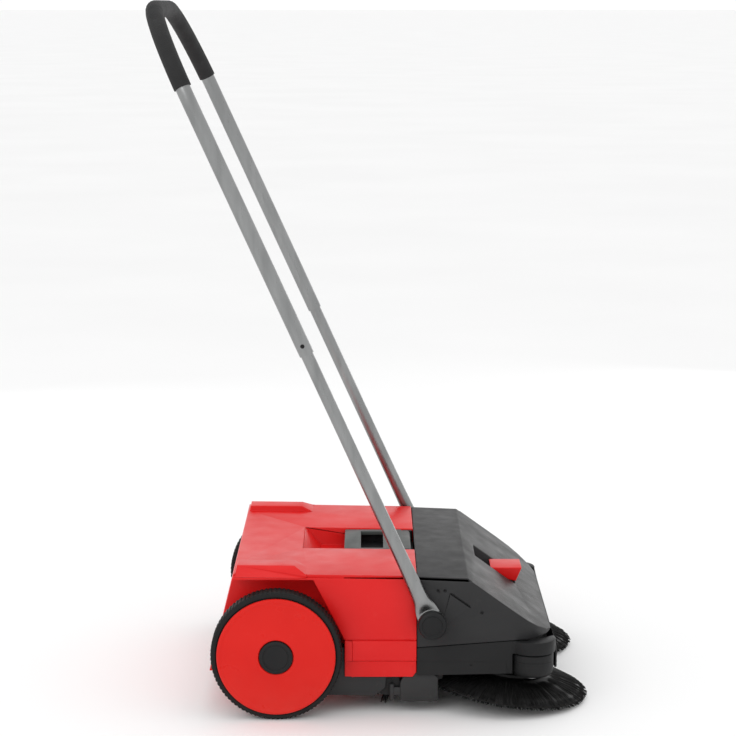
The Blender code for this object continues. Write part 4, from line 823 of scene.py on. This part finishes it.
makeRollerBrush()
print("roller brush made")


# push handle
handleValues = {
    "lean": 65.5, "upperR": 0.0113, "upperStart": 0.4550, "bendR": 0.1450, "crossbar": 1.0127,
    "gripStart": 0.8880, "gripR": 0.0135, "bendSteps": 22,
}
pivot = Vector(jointOf["push_handle_fold"]["pos_m"])
tubeMiddle = (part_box("lower_tube_left")[0].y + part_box("lower_tube_left")[1].y) / 2.0


def alongHandle(distance, y):
    lean = radians(handleValues["lean"])
    return pivot + Vector((-distance * cos(lean), y, distance * sin(lean)))


def handleRoute(start):
    # up one leg, round the bends and down the other
    values = handleValues
    radius = values["bendR"]
    bendStart = values["crossbar"] - radius
    legs = max(3, int((bendStart - start) / 0.06)) if start < bendStart else 0
    right = [alongHandle(start + (bendStart - start) * i / legs, -tubeMiddle) for i in range(legs)]
    bend = []
    for i in range(values["bendSteps"] + 1):
        a = pi / 2.0 * i / values["bendSteps"]
        distance = bendStart + radius * sin(a)
        if distance >= start:
            bend.append(alongHandle(distance, -tubeMiddle + radius - radius * cos(a)))
    half = right + bend
    middle = [alongHandle(values["crossbar"], y) for y in (-0.06, 0.0, 0.06)]
    return half + middle + [Vector((p.x, -p.y, p.z)) for p in reversed(half)]


def makeHandle():
    values = handleValues
    tube = tubeAlong("upperTube", handleRoute(values["upperStart"]), values["upperR"], 8)
    softenEdges(tube, 0.0006, 2, 60.0)
    settle(tube, 40.0)
    finishPiece(tube, "upper_tube", "satinSteel")
    grip = tubeAlong("foamGrip", handleRoute(values["gripStart"]), values["gripR"], 8)
    softenEdges(grip, 0.0024, 4, 60.0)
    settle(grip, 40.0)
    finishPiece(grip, "grip", "gripFoam")
    for word in sideSign:
        title = word.title()
        leg = nodeCopy("lower_tube_" + word, "lowerTube" + title)
        softenEdges(leg, 0.0008, 2, 50.0)
        applyModifier(leg, "SUBSURF", levels=2, render_levels=2)
        settle(leg, 50.0)
        finishPiece(leg, "lower_tube_" + word, "satinSteel")


capValues = {"steps": 72, "ring": 0.0150}


def makePivotCaps():
    low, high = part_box("pivot_cap_right")
    radius = (high.x - low.x) / 2.0
    inner, outer = -high.y, -low.y
    ring = capValues["ring"]
    profile = (
        (0.0063, inner), (radius - 0.0036, inner), (radius - 0.0012, inner + 0.0012),
        (radius, inner + 0.0038),
        (radius, outer - 0.0046), (radius - 0.0006, outer - 0.0026), (radius - 0.0022, outer - 0.0009),
        (radius - 0.0044, outer - 0.0001), (ring + 0.0012, outer), (ring + 0.0004, outer - 0.0009),
        (ring - 0.0006, outer - 0.0012), (ring - 0.0014, outer - 0.0009), (0.0060, outer - 0.0003),
        (0.0, outer - 0.0002),
    )
    piece = spunPiece("pivotCapRight", profile, capValues["steps"])
    turnSideways(piece, (pivot.x, 0.0, pivot.z), 30.0)
    bothSides(piece, "pivot_cap", "blackBase", pivot.x)


screwValues = {"steps": 40, "cross": 0.0006, "depth": 0.0009}


def makeTubeScrews():
    low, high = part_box("tube_screw_right")
    radius = (high.x - low.x) / 2.0
    inner, outer = -high.y, -low.y
    shank = radius - 0.0009
    centre = ((low.x + high.x) / 2.0, 0.0, (low.z + high.z) / 2.0)
    seat = outer - 0.0014
    profile = (
        (0.0, inner), (shank, inner), (shank, seat), (radius, seat), (radius, seat + 0.0005),
        (radius - 0.0005, outer - 0.0004), (radius - 0.0014, outer), (0.0, outer),
    )
    piece = spunPiece("tubeScrewRight", profile, screwValues["steps"])
    arm = 0.62 * radius
    for half in ((arm, screwValues["cross"]), (screwValues["cross"], arm)):
        cutBlock(piece, (-half[0], -half[1], outer - screwValues["depth"]),
                 (half[0], half[1], outer + 0.001))
    turnSideways(piece, centre, 30.0)
    bothSides(piece, "tube_screw", "blackBase", centre[0])


makeHandle()
makePivotCaps()
makeTubeScrews()
print("push handle made")
